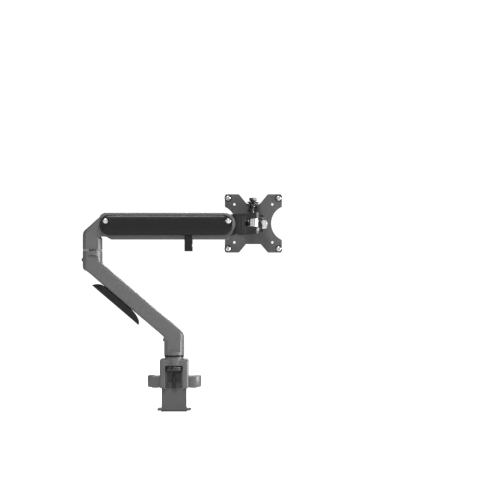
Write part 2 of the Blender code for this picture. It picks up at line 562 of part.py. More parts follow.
# ---------------------------------------------------------------- parallel links
def build_upper_link(frame):
    """A channel, open below, with a domed cover on each side."""
    outer_edges = lambda e: all(abs(abs(v.co.y) - UPPER_OUT * MM) < 1e-6 for v in e.verts)
    channel = slab([stadium(-143.8, 119.0, LINK_LOW, LINK_TOP, 12)], "Y", -UPPER_OUT, UPPER_OUT,
                   bevel=1.2, segments=2, only=outer_edges)
    roof_start, roof_end = PIVOT_A_X + 6, PIVOT_B_X - 7.4
    hollow = slab([[(-160, 280), (140, 280), (140, 350), (roof_end, 350), (roof_end, ROOF_LOW),
                    (roof_start, ROOF_LOW), (roof_start, 350), (-160, 350)]],
                  "Y", -UPPER_IN, UPPER_IN)
    anchor_x = PIVOT_A_X + SPRING_REACH
    anchor_hole = rod((anchor_x, -25, UPPER_Z), (anchor_x, 25, UPPER_Z), ANCHOR_RADIUS + GAP, 20)
    piece("upper_link", channel, "grey_paint", frame,
          cut=[hollow, anchor_hole] + pivot_holes(PIVOT_A_X, (UPPER_Z,), 25)
          + pivot_holes(PIVOT_B_X, (UPPER_Z,), 25))
    pin_half = UPPER_OUT - GAP
    anchor = rod((anchor_x, -pin_half, UPPER_Z), (anchor_x, pin_half, UPPER_Z), ANCHOR_RADIUS, 20)
    piece("spring_anchor_pin", anchor, "dark_steel", frame)
    for side, name in ((-1, "cover_rear"), (1, "cover_front")):
        low, high = sorted((side * (UPPER_OUT + GAP), side * COVER_OUT))
        outer_face = side * COVER_OUT * MM
        on_face = lambda e: all(abs(v.co.y - outer_face) < 1e-6 for v in e.verts)
        ends, heights, wall = COVER_ENDS, COVER_HEIGHTS, 3.5
        skin = slab([stadium(*ends, *heights, 10)], "Y", low, high,
                    bevel=4.0, segments=2, only=on_face)
        low, high = sorted((side * (UPPER_OUT - 2), side * (COVER_OUT - 2.4)))
        hollow = slab([stadium(ends[0] + wall, ends[1] - wall, heights[0] + wall,
                               heights[1] - wall, 8)], "Y", low, high)
        heads = [rod((x, side * 20, UPPER_Z), (x, side * 30, UPPER_Z), 6.0, 24)
                 for x in (PIVOT_A_X, PIVOT_B_X)]
        piece(name, skin, "black_plastic", frame, cut=[hollow] + heads)


def build_lower_link(frame):
    """The lower channel of the parallelogram, open above, with the lead clip on it."""
    base, top, floor = LOWER_LINK_FLOOR, LOWER_LINK_TOP, LOWER_LINK_FLOOR + 3.5
    section = [(-LOWER_OUT, base), (LOWER_OUT, base), (LOWER_OUT, top), (LOWER_IN, top),
               (LOWER_IN, floor), (-LOWER_IN, floor), (-LOWER_IN, top), (-LOWER_OUT, top)]
    channel = slab([section], "X", PIVOT_A_X - 9, PIVOT_B_X + 9)
    profile = ([(PIVOT_A_X + 10, base), (PIVOT_B_X, base)]
               + arc(PIVOT_B_X, LOWER_Z, 8.9, -60, 90, 8)
               + arc(PIVOT_A_X, LOWER_Z, 8.9, 90, 250, 8))
    ends = slab([profile], "Y", -30, 30)
    piece("lower_link", channel, "grey_paint", frame, meet=[ends],
          cut=pivot_holes(PIVOT_A_X, (LOWER_Z,), 25) + pivot_holes(PIVOT_B_X, (LOWER_Z,), 25))
    outer, inner, seat = LOWER_OUT + 1.7, LOWER_OUT + GAP, base - GAP
    legs = [(-outer, CLIP_LOW), (outer, CLIP_LOW), (outer, 297), (inner, 297), (inner, seat),
            (-inner, seat), (-inner, 297), (-outer, 297)]
    loop = [(-15.2, 269), (15.2, 269), (15.2, 284.6), (-15.2, 284.6)]
    clip = slab([legs, loop], "X", *CLIP_ENDS)
    piece("cable_clip", clip, "black_plastic", frame,
          cut=[box((15, 10, 275), (40, 25, 279.5))])


# ---------------------------------------------------------------- head
def build_yoke(frame):
    """The black casting at the arm's front end, with two lugs for the swivel pin."""
    side_view = (arc(PIVOT_B_X, UPPER_Z, 13.0, 80, 180, 8)
                 + arc(PIVOT_B_X, LOWER_Z, LINK_END_RADIUS, 180, 290, 8)
                 + [(120, 299.5), (127, 297.2), (140, 297.2), (160, 299.8), (167.2, 302.5),
                    (167.2, LUG_GAP_LOW), (138, LUG_GAP_LOW), (138, LUG_GAP_TOP),
                    (167.2, LUG_GAP_TOP), (167.2, 341.4), (160, 341.2), (120, 338.6)])
    body = slab([side_view], "Y", -20, 20, bevel=1.2, segments=1)
    top_view = ([(90, -TONGUE_HALF), (119.5, -TONGUE_HALF), (119.5, -18.3), (130, -18.3),
                 (142, -LUG_RADIUS)] + arc(SWIVEL_X, 0, LUG_RADIUS, -80, 80, 12)
                + [(142, LUG_RADIUS), (130, 18.3), (119.5, 18.3), (119.5, TONGUE_HALF),
                   (90, TONGUE_HALF)])
    plan = slab([top_view], "Z", 290, 345)
    tips = [rod((PIVOT_B_X, side * (FORK_GAP + GAP), z), (PIVOT_B_X, side * 25, z),
                STUB_RADIUS + GAP, 24)
            for side in (-1, 1) for z in (UPPER_Z, LOWER_Z)]
    bore = rod((SWIVEL_X, 0, 290), (SWIVEL_X, 0, 345), SWIVEL_PIN_RADIUS + GAP, 24)
    pinch = rod((162.5, -20, 308), (162.5, 5.5, 308), 3.0, 16)
    piece("front_yoke", body, "black_paint", frame, meet=[plan], cut=tips + [bore, pinch])
    build_stubs(PIVOT_B_X, frame, "b")
    radius, top, bottom = SWIVEL_PIN_RADIUS, 341.0, 300.4
    pin = turned([(0, top), (radius - 0.8, top), (radius, top - 0.8), (radius, bottom + 0.8),
                  (radius - 0.8, bottom), (0, bottom)], (SWIVEL_X, 0, 0), sides=24)
    piece("swivel_pin", pin, "steel", frame)
    piece("pinch_screw", rod((162.5, -9.6, 308), (162.5, 5.2, 308), 2.7, 16), "dark_steel", frame)


def build_knuckle(frame):
    """A cross knuckle: a barrel on the swivel pin and one on the tilt bolt."""
    barrel = rod((SWIVEL_X, 0, LUG_GAP_LOW + 0.4), (SWIVEL_X, 0, LUG_GAP_TOP - 0.4),
                 BARREL_RADIUS, 32)
    web = box((148.5, 5, 315.2), (159.5, TILT_Y - 5, 328.2))
    tilt_barrel = rod((144.0, TILT_Y, HEAD_Z), (164.0, TILT_Y, HEAD_Z), TILT_BARREL_RADIUS, 32)
    swivel_hole = rod((SWIVEL_X, 0, 300), (SWIVEL_X, 0, 340), SWIVEL_PIN_RADIUS + GAP, 24)
    bolt_hole = rod((140, TILT_Y, HEAD_Z), (170, TILT_Y, HEAD_Z), BOLT_RADIUS + GAP, 24)
    piece("swivel_knuckle", barrel, "steel", frame, join=[web, tilt_barrel],
          cut=[swivel_hole, bolt_hole])


def build_tilt(frame):
    """The tilt bracket, its bolt, nut and friction washers, and the hub the plate turns on."""
    ears = [slab([arc(TILT_Y, HEAD_Z, 11.5, 90, 270, 10)
                  + [(WALL_FRONT, HEAD_Z - 13), (WALL_FRONT, HEAD_Z + 13)]],
                 "X", low, low + EAR_THICK) for low in EAR_LOWS]
    wall = box((134.0, WALL_REAR, HEAD_Z - 17), (174.0, WALL_FRONT, HEAD_Z + 17),
               bevel=2.0, segments=2)
    hole_radius = BOLT_RADIUS + GAP
    bolt_hole = rod((130, TILT_Y, HEAD_Z), (180, TILT_Y, HEAD_Z), hole_radius, 24)
    piece("tilt_bracket", wall, "black_paint", frame, join=ears, cut=[bolt_hole])
    head = EAR_LOWS[0] - GAP
    bolt = turned([(0, 181.5), (3.9, 181.5), (BOLT_RADIUS, 180.9), (BOLT_RADIUS, head),
                   (6.6, head), (6.6, 133.6), (5.8, 132.8), (0, 132.8)],
                  (0, TILT_Y, HEAD_Z), axis="X", sides=24)
    piece("tilt_bolt", bolt, "steel", frame)
    for name, low in (("tilt_washer_left", 142.4), ("tilt_washer_right", 164.3)):
        washer = turned([(9.2, low + 1.3), (9.2, low), (hole_radius, low),
                         (hole_radius, low + 1.3)], (0, TILT_Y, HEAD_Z), axis="X", sides=32)
        piece(name, washer, "nylon", frame)
    nut = slab([hexagon(TILT_Y, HEAD_Z, NUT_FLATS, 0), circle(TILT_Y, HEAD_Z, hole_radius, 24)],
               "X", 171.0, 180.0)
    piece("tilt_nut", nut, "steel", frame)
    hub_rear = WALL_FRONT + GAP
    hub = turned([(0, PLATE_Y + 2.7), (8.2, PLATE_Y + 2.7), (8.2, PLATE_Y - 0.4),
                  (HUB_BOSS, PLATE_Y - 0.4), (HUB_BOSS, 66), (HUB_FLANGE, 66),
                  (HUB_FLANGE, hub_rear), (0, hub_rear)], (SWIVEL_X, 0, HEAD_Z),
                 axis="Y", sides=36)
    piece("rotation_hub", hub, "black_paint", frame)
    ring = turned([(12.6, PLATE_Y + 2.8), (12.6, PLATE_Y + 2.1), (8.5, PLATE_Y + 2.1),
                   (8.5, PLATE_Y + 2.8)], (SWIVEL_X, 0, HEAD_Z), axis="Y")
    piece("retaining_ring", ring, "steel", frame)


def plate_outline():
    """The screen plate: a square with a notch in each side, on its centre."""
    corner = 4.0
    reach = math.degrees(math.asin(32.6 / 35.7))
    side_centre = PLATE_HALF_X - 21.2 + 35.7
    right = arc(side_centre, 0, 35.7, 180 + reach, 180 - reach, 16)
    right = [p for p in right if p[0] <= PLATE_HALF_X]
    left = [(-x, -z) for x, z in right]
    top = [(28.5, PLATE_HALF_Z), (15, 41.4), (12.5, 39.3), (10, 38.7),
           (-10, 38.7), (-12.5, 39.3), (-15, 41.4), (-28.5, PLATE_HALF_Z)]
    bottom = [(-28.5, -PLATE_HALF_Z), (-14.5, -41), (14.5, -41), (28.5, -PLATE_HALF_Z)]
    inner_x, inner_z = PLATE_HALF_X - corner, PLATE_HALF_Z - corner
    return (arc(inner_x, -inner_z, corner, -90, 0, 4) + right
            + arc(inner_x, inner_z, corner, 0, 90, 4) + top
            + arc(-inner_x, inner_z, corner, 90, 180, 4) + left
            + arc(-inner_x, -inner_z, corner, 180, 270, 4) + bottom)


def build_plate(frame):
    """The screen plate with its screws, and the housing of the release latch."""
    shift = lambda loop: [(SWIVEL_X + x, HEAD_Z + z) for x, z in loop]
    holes = [circle(sx * pitch, sz * pitch, radius, 12)
             for pitch, radius in ((HOLE_100, 2.5), (HOLE_75, 2.3))
             for sx in (-1, 1) for sz in (-1, 1)]
    loops = [shift(plate_outline()), shift(circle(0, 0, 8.5, 32))] + [shift(h) for h in holes]
    plate = slab(loops, "Y", PLATE_Y, PLATE_Y + PLATE_THICK)
    recess = turned([(0, PLATE_Y + 4), (13, PLATE_Y + 4), (13, PLATE_Y + 1.8), (0, PLATE_Y + 1.8)],
                    (SWIVEL_X, 0, HEAD_Z), axis="Y")
    piece("vesa_plate", plate, "plate_paint", frame, cut=[recess])
    for sx, word in ((-1, "left"), (1, "right")):
        for sz, height in ((-1, "lower"), (1, "upper")):
            screw = turned([(0, 3.0), (3.2, 2.7), (4.8, 1.7), (SCREW_HEAD, GAP),
                            (SCREW_SHANK, GAP), (SCREW_SHANK, -8.4), (1.5, -9), (0, -9)],
                           (SWIVEL_X + sx * HOLE_100, PLATE_Y, HEAD_Z + sz * HOLE_100),
                           axis="Y", flip=True, sides=16)
            piece("vesa_screw_%s_%s" % (height, word), screw, "steel", frame)
    housing = box((145, 56.8, 343.2), (162, PLATE_Y - GAP, 353.4), bevel=1.5, segments=2)
    bore = rod((LATCH_X, LATCH_Y, 330), (LATCH_X, LATCH_Y, 360), PLUNGER_RADIUS + GAP, 20)
    pocket = rod((LATCH_X, LATCH_Y, 344.9), (LATCH_X, LATCH_Y, 351.6), PLUNGER_FLANGE + 0.5, 24)
    piece("latch_housing", housing, "black_paint", frame, cut=[bore, pocket])


def build_latch(frame):
    """The sprung plunger and its ribbed knob."""
    radius, flange, tip = PLUNGER_RADIUS, PLUNGER_FLANGE, PLUNGER_RADIUS - 0.6
    plunger = turned([(0, 366), (tip, 366), (radius, 365.4), (radius, 346.4), (flange, 346.4),
                      (flange, 345.3), (radius, 345.3), (radius, 342.9), (tip, 342.3),
                      (0, 342.3)], (LATCH_X, LATCH_Y, 0), sides=16)
    piece("latch_plunger", plunger, "steel", frame)
    knob = turned([(0, 371.2), (6.8, 371.2), (7.8, 370.2), (7.8, 365.6), (5.6, 364.8),
                   (5.6, 363.9), (11.2, 363.5), (12.0, 362.5), (11.2, 361.2), (8.5, 360.4),
                   (8.5, 359.3), (12.8, 358.6), (13.6, 357.0), (12.6, 355.2), (9.0, 353.9),
                   (radius + GAP, 353.8), (radius + GAP, 366.3), (0, 366.3)], (LATCH_X, LATCH_Y, 0), sides=24)
    piece("latch_knob", knob, "black_plastic", frame)
    turns, per_turn, radius, low, high = 3, 10, 4.3, 347.2, 350.9
    curve = bpy.data.curves.new("latch_spring", "CURVE")
    curve.dimensions = "3D"
    curve.bevel_depth = 0.35 * MM
    curve.bevel_resolution = 2
    curve.use_fill_caps = True
    spline = curve.splines.new("POLY")
    count = turns * per_turn + 1
    spline.points.add(count - 1)
    for i, point in enumerate(spline.points):
        angle = 2 * math.pi * i / per_turn
        height = low + (high - low) * i / (count - 1)
        point.co = (radius * math.cos(angle) * MM, radius * math.sin(angle) * MM, height * MM, 1)
    coil = tool_object("latch_spring", curve)
    coil.matrix_world = Matrix.Translation(Vector((LATCH_X, LATCH_Y, 0)) * MM)
    piece_curve(coil, "latch_spring", "steel", frame)


def piece_curve(curve_object, name, finish, frame):
    """Turns a bevelled curve into a mesh part, with its caps welded."""
    bpy.context.view_layer.update()
    evaluated = curve_object.evaluated_get(bpy.context.evaluated_depsgraph_get())
    mesh = bpy.data.meshes.new_from_object(evaluated)
    bm = bmesh.new()
    bm.from_mesh(mesh)
    bmesh.ops.remove_doubles(bm, verts=bm.verts, dist=1e-6)
    bmesh.ops.recalc_face_normals(bm, faces=bm.faces)
    bm.to_mesh(mesh)
    bm.free()
    solid = tool_object(name, mesh)
    solid.matrix_world = curve_object.matrix_world
    bpy.data.objects.remove(curve_object)
    solid.data.materials.clear()
    return piece(name, solid, finish, frame)


def build():
    desk_clamp = joint_frame("desk_clamp", (0, 0, 0))
    build_base(desk_clamp)
    build_jaw(joint_frame("jaw_slide", (0, SCREW_Y, 0)))
    build_clamp_screw(joint_frame("clamp_screw_axis", (0, SCREW_Y, 38)))
    build_lower_arm(joint_frame("base_swivel_axis", (0, 0, HUB_LOW)))
    build_cable_cover(joint_frame("cable_cover_slide", (-110, 0, 160)))
    build_elbow(joint_frame("elbow_swivel_axis", (ELBOW_X, 0, ELBOW_JOINT)))
    build_tension(joint_frame("tension_screw_axis", (TENSION_X, 0, 310)),
                  joint_frame("tension_slide", (TENSION_X, 0, 310.4)))
    build_spring(joint_frame("spring_tail_axis", (PIVOT_A_X, 0, UPPER_Z - SPRING_DROP)),
                 joint_frame("spring_slide", (PIVOT_A_X, 0, UPPER_Z - SPRING_DROP)))
    build_upper_link(joint_frame("upper_link_axis", (PIVOT_A_X, 0, UPPER_Z)))
    build_lower_link(joint_frame("lower_link_axis", (PIVOT_A_X, 0, LOWER_Z)))
    build_yoke(joint_frame("yoke_axis", (PIVOT_B_X, 0, UPPER_Z)))
    build_knuckle(joint_frame("head_swivel_axis", (SWIVEL_X, 0, HEAD_Z)))
    build_tilt(joint_frame("head_tilt_axis", (SWIVEL_X, TILT_Y, HEAD_Z)))
    build_plate(joint_frame("plate_rotation_axis", (SWIVEL_X, PLATE_Y, HEAD_Z)))
    build_latch(joint_frame("latch_slide", (LATCH_X, LATCH_Y, 354)))


build()
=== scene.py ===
import json
import math

import bmesh
import bpy
import numpy as np
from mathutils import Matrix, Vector


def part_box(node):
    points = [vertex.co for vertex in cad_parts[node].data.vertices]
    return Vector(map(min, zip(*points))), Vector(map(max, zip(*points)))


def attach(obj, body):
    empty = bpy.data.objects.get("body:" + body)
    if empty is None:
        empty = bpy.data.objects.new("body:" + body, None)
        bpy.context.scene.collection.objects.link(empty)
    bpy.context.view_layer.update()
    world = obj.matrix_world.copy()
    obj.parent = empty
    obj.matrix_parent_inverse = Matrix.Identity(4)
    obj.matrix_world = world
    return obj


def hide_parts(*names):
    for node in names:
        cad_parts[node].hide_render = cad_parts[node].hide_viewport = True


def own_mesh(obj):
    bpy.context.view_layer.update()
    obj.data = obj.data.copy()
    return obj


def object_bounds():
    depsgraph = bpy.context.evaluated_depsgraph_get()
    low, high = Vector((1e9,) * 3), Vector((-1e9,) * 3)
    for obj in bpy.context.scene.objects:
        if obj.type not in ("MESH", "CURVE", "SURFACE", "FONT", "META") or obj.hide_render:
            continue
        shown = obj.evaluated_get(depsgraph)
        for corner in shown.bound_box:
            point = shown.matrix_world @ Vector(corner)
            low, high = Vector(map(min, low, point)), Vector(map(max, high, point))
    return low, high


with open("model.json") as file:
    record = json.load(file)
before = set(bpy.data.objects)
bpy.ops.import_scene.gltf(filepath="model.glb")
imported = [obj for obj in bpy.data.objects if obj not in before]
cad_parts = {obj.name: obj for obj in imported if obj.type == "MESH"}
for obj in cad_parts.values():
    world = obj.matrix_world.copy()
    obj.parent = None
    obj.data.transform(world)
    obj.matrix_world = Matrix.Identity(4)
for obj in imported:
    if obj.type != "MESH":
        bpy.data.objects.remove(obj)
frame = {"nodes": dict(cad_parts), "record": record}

CAD_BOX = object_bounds()
MM = 0.001
NODES = frame["nodes"]
BODY_OF = {node: body for body, nodes in frame["record"]["behaviour"]["bodies"].items()
           for node in nodes}
REAR, FRONT = -1, 1       # the side away from the screen, and the side facing it
MERGE = 2e-6              # points nearer than this are one point, in metres
FLATS = 15.2              # half the width across the flats on the hubs
PIN_BORE = 7.3            # radius of the bores for the elbow pin
BRACKET_SHEET = 3.0       # thickness of the sheet of the bracket under the desk


def low(node):
    return np.array(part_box(node)[0]) / MM


def high(node):
    return np.array(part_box(node)[1]) / MM


def middle(node):
    return (low(node) + high(node)) / 2


ELBOW = middle("elbow_pin")
SWIVEL = middle("swivel_pin")
TILT = middle("tilt_nut")
PLATE = middle("vesa_plate")
LATCH = middle("latch_plunger")
UPPER_A, UPPER_B = middle("pivot_screw_a_rear"), middle("pivot_screw_b_rear")
LOWER_A = middle("lower_pin_a_rear")
CLAMP = middle("clamp_screw")
TENSION = middle("tension_screw")


# ------------------------------------------------------------------ node trees
def add(tree, kind, links=None, **settings):
    """A node with its settings made; a link's value is a socket to join or a number to set."""
    made = tree.nodes.new(kind)
    for key, value in settings.items():
        setattr(made, key, value)
    for key, value in (links or {}).items():
        if isinstance(value, bpy.types.NodeSocket):
            tree.links.new(value, made.inputs[key])
        else:
            made.inputs[key].default_value = value
    return made


def maths(tree, operation, first, second=0.5, clamp=False):
    return add(tree, "ShaderNodeMath", {0: first, 1: second}, operation=operation,
               use_clamp=clamp).outputs[0]


def tint(tree, amount, under, over):
    """Colour mix of two sockets or colours by a mask."""
    return add(tree, "ShaderNodeMix", {0: amount, 6: under, 7: over}, data_type="RGBA",
               clamp_factor=True).outputs[2]


def new_group(name, inputs, outputs):
    group = bpy.data.node_groups.new(name, "ShaderNodeTree")
    for label, kind, value in inputs:
        socket = group.interface.new_socket(label, in_out="INPUT", socket_type=kind)
        socket.default_value = value
    for label, kind in outputs:
        group.interface.new_socket(label, in_out="OUTPUT", socket_type=kind)
    return group, group.nodes.new("NodeGroupInput"), group.nodes.new("NodeGroupOutput")


FLOAT, COLOUR, VECTOR = "NodeSocketFloat", "NodeSocketColor", "NodeSocketVector"


def object_noise(tree, scale, detail=2.0, roughness=0.5, stretch=None):
    """Noise on the piece's own coordinates, in metres; stretch scales the three axes."""
    place = add(tree, "ShaderNodeTexCoord").outputs["Object"]
    if stretch is not None:
        place = add(tree, "ShaderNodeMapping", {"Vector": place, "Scale": stretch}).outputs[0]
    return add(tree, "ShaderNodeTexNoise", {"Vector": place, "Scale": scale, "Detail": detail,
                                            "Roughness": roughness}).outputs["Fac"]


def rubbed_and_lit_edges_group():
    """Mask of edges, part rubbed wear and part painted highlight: where the rounded normal turns away
    from the true one.
    """
    group, given, result = new_group(
        "rubbed_and_lit_edges", [("Width", FLOAT, 0.0009), ("Strength", FLOAT, 8.0)], [("Mask", FLOAT)])
    rounded = add(group, "ShaderNodeBevel", {"Radius": given.outputs["Width"]}, samples=4)
    true = add(group, "ShaderNodeNewGeometry")
    turn = add(group, "ShaderNodeVectorMath", {0: rounded.outputs[0], 1: true.outputs["Normal"]},
               operation="DOT_PRODUCT").outputs["Value"]
    edge_band = maths(group, "MULTIPLY", maths(group, "SUBTRACT", 1.0, turn), given.outputs["Strength"])
    broken = maths(group, "MULTIPLY", edge_band, object_noise(group, 420.0, 3.0, 0.6), clamp=True)
    group.links.new(broken, result.inputs["Mask"])
    return group


def powder_group():
    """Powder coat: orange peel and fine speckle as height, slow mottling of the colour."""
    group, given, result = new_group(
        "powder_coat",
        [("Colour", COLOUR, (0.13, 0.13, 0.13, 1)), ("Speckle", COLOUR, (0.2, 0.2, 0.2, 1)),
         ("Peel", FLOAT, 900.0), ("Gloss", FLOAT, 0.45)],
        [("Colour", COLOUR), ("Roughness", FLOAT), ("Height", FLOAT)])
    place = add(group, "ShaderNodeTexCoord").outputs["Object"]
    peel = add(group, "ShaderNodeTexNoise", {"Vector": place, "Scale": given.outputs["Peel"],
                                             "Detail": 1.5}).outputs["Fac"]
    fine = add(group, "ShaderNodeTexVoronoi", {"Vector": place, "Scale": 2600.0}).outputs["Distance"]
    slow = object_noise(group, 22.0, 3.0, 0.6)
    fleck = maths(group, "SUBTRACT", object_noise(group, 3100.0, 1.0, 0.4), 0.56)
    fleck = maths(group, "MULTIPLY", fleck, 5.0, clamp=True)
    mottled = maths(group, "MULTIPLY", maths(group, "SUBTRACT", slow, 0.42), 0.55, clamp=True)
    base = tint(group, mottled, given.outputs["Colour"], given.outputs["Speckle"])
    speckled = tint(group, maths(group, "MULTIPLY", fleck, 0.35), base, given.outputs["Speckle"])
    gloss = maths(group, "ADD", given.outputs["Gloss"],
                  maths(group, "MULTIPLY", maths(group, "SUBTRACT", slow, 0.5), 0.16), clamp=True)
    height = maths(group, "ADD", maths(group, "MULTIPLY", peel, 0.7),
                   maths(group, "MULTIPLY", fine, 0.3))
    group.links.new(speckled, result.inputs["Colour"])
    group.links.new(gloss, result.inputs["Roughness"])
    group.links.new(height, result.inputs["Height"])
    return group


def moulded_group():
    """Moulded plastic: a fine spark-eroded texture, and faint flow shading."""
    group, given, result = new_group(
        "moulded_texture",
        [("Colour", COLOUR, (0.012, 0.012, 0.013, 1)), ("Sheen", COLOUR, (0.02, 0.02, 0.022, 1)),
         ("Grain", FLOAT, 1500.0), ("Gloss", FLOAT, 0.35)],
        [("Colour", COLOUR), ("Roughness", FLOAT), ("Height", FLOAT)])
    place = add(group, "ShaderNodeTexCoord").outputs["Object"]
    grain = add(group, "ShaderNodeTexVoronoi",
                {"Vector": place, "Scale": given.outputs["Grain"]}).outputs["Distance"]
    flow = object_noise(group, 9.0, 2.0, 0.5, stretch=(0.4, 1.0, 2.2))
    rubbed = object_noise(group, 60.0, 4.0, 0.65)
    colour = tint(group, maths(group, "SUBTRACT", flow, 0.2, clamp=True),
                  given.outputs["Colour"], given.outputs["Sheen"])
    gloss = maths(group, "ADD", given.outputs["Gloss"],
                  maths(group, "MULTIPLY", maths(group, "SUBTRACT", rubbed, 0.5), 0.22), clamp=True)
    group.links.new(colour, result.inputs["Colour"])
    group.links.new(gloss, result.inputs["Roughness"])
    group.links.new(grain, result.inputs["Height"])
    return group


def brushed_group():
    """Drawn or turned metal: noise stretched along one axis, for tone, gloss and height."""
    group, given, result = new_group(
        "brushed_metal",
        [("Colour", COLOUR, (0.6, 0.6, 0.6, 1)), ("Tarnish", COLOUR, (0.4, 0.4, 0.4, 1)),
         ("Stretch", VECTOR, (1, 1, 0.05)), ("Gloss", FLOAT, 0.25)],
        [("Colour", COLOUR), ("Roughness", FLOAT), ("Height", FLOAT)])
    place = add(group, "ShaderNodeTexCoord").outputs["Object"]
    drawn = add(group, "ShaderNodeVectorMath", {0: place, 1: given.outputs["Stretch"]},
                operation="MULTIPLY").outputs[0]
    streak = add(group, "ShaderNodeTexNoise", {"Vector": drawn, "Scale": 2400.0,
                                               "Detail": 3.0}).outputs["Fac"]
    cloud = object_noise(group, 130.0, 3.0, 0.6)
    colour = tint(group, maths(group, "MULTIPLY", maths(group, "SUBTRACT", cloud, 0.35), 1.4,
                               clamp=True), given.outputs["Colour"], given.outputs["Tarnish"])
    gloss = maths(group, "ADD", given.outputs["Gloss"],
                  maths(group, "MULTIPLY", maths(group, "SUBTRACT", streak, 0.5), 0.3), clamp=True)
    group.links.new(colour, result.inputs["Colour"])
    group.links.new(gloss, result.inputs["Roughness"])
    group.links.new(streak, result.inputs["Height"])
    return group


RUBBED_AND_LIT_EDGES, POWDER = rubbed_and_lit_edges_group(), powder_group()
MOULDED, BRUSHED = moulded_group(), brushed_group()


def finish(name, group, values, rubbed_lit_tone, wear, relief, metallic=0.0, coat=0.0, uniform=None):
    """A material: one surface group, lighter edges over it (rubbed wear and a painted highlight), and
    its height as a bump.

    The edge tone argument is the colour of those edges, part rubbed wear and part painted highlight;
    relief is the bump's height in metres.
    """
    material = bpy.data.materials.new(name)
    material.use_nodes = True
    tree = material.node_tree
    shader = tree.nodes["Principled BSDF"]
    surface = add(tree, "ShaderNodeGroup", node_tree=group)
    for key, value in values.items():
        surface.inputs[key].default_value = value
    edge = add(tree, "ShaderNodeGroup", node_tree=RUBBED_AND_LIT_EDGES)
    # the edge mask paints a highlight along the bevels as well as rubbed wear
    mask = maths(tree, "MULTIPLY", edge.outputs["Mask"], wear, clamp=True)
    tree.links.new(tint(tree, mask, surface.outputs["Colour"], rubbed_lit_tone), shader.inputs["Base Color"])
    tree.links.new(surface.outputs["Roughness"], shader.inputs["Roughness"])
    shader.inputs["Metallic"].default_value = metallic
    shader.inputs["Coat Weight"].default_value = coat
    for key, value in (uniform or {}).items():
        shader.inputs[key].default_value = value
    bump = add(tree, "ShaderNodeBump", {"Height": surface.outputs["Height"], "Distance": relief,
                                        "Strength": 1.0})
    tree.links.new(bump.outputs[0], shader.inputs["Normal"])
    return material


def grey(level):
    """A very slightly blue grey."""
    return (level, level, level * 1.015, 1.0)


# each look's lighter edge colour is part rubbed wear, part a painted highlight along the bevels
LOOKS = {
    "grey_paint": finish("grey_paint_look", POWDER,
                         {"Colour": grey(0.082), "Speckle": grey(0.104), "Gloss": 0.40},
                         grey(0.2), wear=0.4, relief=0.000008,
                         uniform={"Specular IOR Level": 0.5}),
    "plate_paint": finish("plate_paint_look", POWDER,
                          {"Colour": grey(0.058), "Speckle": grey(0.085), "Peel": 1100.0,
                           "Gloss": 0.46}, grey(0.15), wear=0.4, relief=0.000008),
    "black_paint": finish("black_paint_look", POWDER,
                          {"Colour": grey(0.008), "Speckle": grey(0.014), "Gloss": 0.40},
                          grey(0.05), wear=0.4, relief=0.000007,
                          uniform={"Specular IOR Level": 0.3}),
    "black_plastic": finish("black_plastic_look", MOULDED,
                            {"Colour": grey(0.004), "Sheen": grey(0.007), "Gloss": 0.34},
                            grey(0.025), wear=0.3, relief=0.000005,
                            uniform={"Specular IOR Level": 0.26}),
    "rubber": finish("rubber_look", MOULDED,
                     {"Colour": grey(0.006), "Sheen": grey(0.013), "Grain": 900.0, "Gloss": 0.78},
                     grey(0.03), wear=0.3, relief=0.00004,
                     uniform={"Sheen Weight": 0.15, "Sheen Roughness": 0.6}),
    "steel": finish("steel_look", BRUSHED,
                    {"Colour": (0.66, 0.66, 0.65, 1), "Tarnish": (0.5, 0.5, 0.49, 1),
                     "Gloss": 0.30}, (0.85, 0.85, 0.85, 1), wear=0.4, relief=0.0000015,
                    metallic=1.0, uniform={"Anisotropic": 0.3}),
    "dark_steel": finish("dark_steel_look", BRUSHED,
                         {"Colour": grey(0.02), "Tarnish": grey(0.012), "Gloss": 0.38},
                         grey(0.08), wear=0.4, relief=0.000003, metallic=0.6),
    "nylon": finish("nylon_look", MOULDED,
                    {"Colour": grey(0.012), "Sheen": grey(0.025), "Grain": 1900.0, "Gloss": 0.5},
                    grey(0.06), wear=0.3, relief=0.00001),
}
GLOSSY = finish("glossy_knob_look", MOULDED,
                {"Colour": grey(0.006), "Sheen": grey(0.01), "Grain": 2200.0, "Gloss": 0.14},
                grey(0.05), wear=0.2, relief=0.000004, coat=0.6, uniform={"Coat Roughness": 0.08})
# painted shade: a dark coat for plates set where the window's hollow lies in shadow
PAINTED_SHADE_PANEL = finish("painted_shade_panel_look", POWDER,
                    {"Colour": grey(0.03), "Speckle": grey(0.05), "Gloss": 0.5},
                    grey(0.1), wear=0.3, relief=0.00002)


# ------------------------------------------------------------------ surfaces
def round_corners(points, size, steps=3):
    """Each corner P becomes (1-t)^2 A + 2t(1-t) P + t^2 B, with A and B on its two sides.

    size is how far A and B are from P; a size of 0 keeps that corner.
    """
    points = np.asarray(points, float)
    size = np.broadcast_to(np.asarray(size, float), len(points))[:, None]

    def toward(other):
        step = other - points
        length = np.linalg.norm(step, axis=1, keepdims=True)
        return points + step / np.maximum(length, 1e-9) * np.minimum(size, length * 0.49)

    start, end = toward(np.roll(points, 1, 0)), toward(np.roll(points, -1, 0))
    t = np.linspace(0, 1, steps + 1)[None, :, None]
    curve = (1 - t) ** 2 * start[:, None] + 2 * t * (1 - t) * points[:, None] + t ** 2 * end[:, None]
    return curve.reshape(-1, points.shape[1])


def smooth_line(points, counts, passes=6):
    """A line through points, counts[i] steps on each side, then averaged (a + 2b + c) / 4."""
    points = np.asarray(points, float)
    places = np.concatenate([i + np.arange(n) / n for i, n in enumerate(counts)]
                            + [[len(counts)]])
    knots = np.arange(len(points))
    line = np.stack([np.interp(places, knots, points[:, k]) for k in range(points.shape[1])], 1)
    for _ in range(passes):
        line[1:-1] = (line[:-2] + 2 * line[1:-1] + line[2:]) / 4
    return line


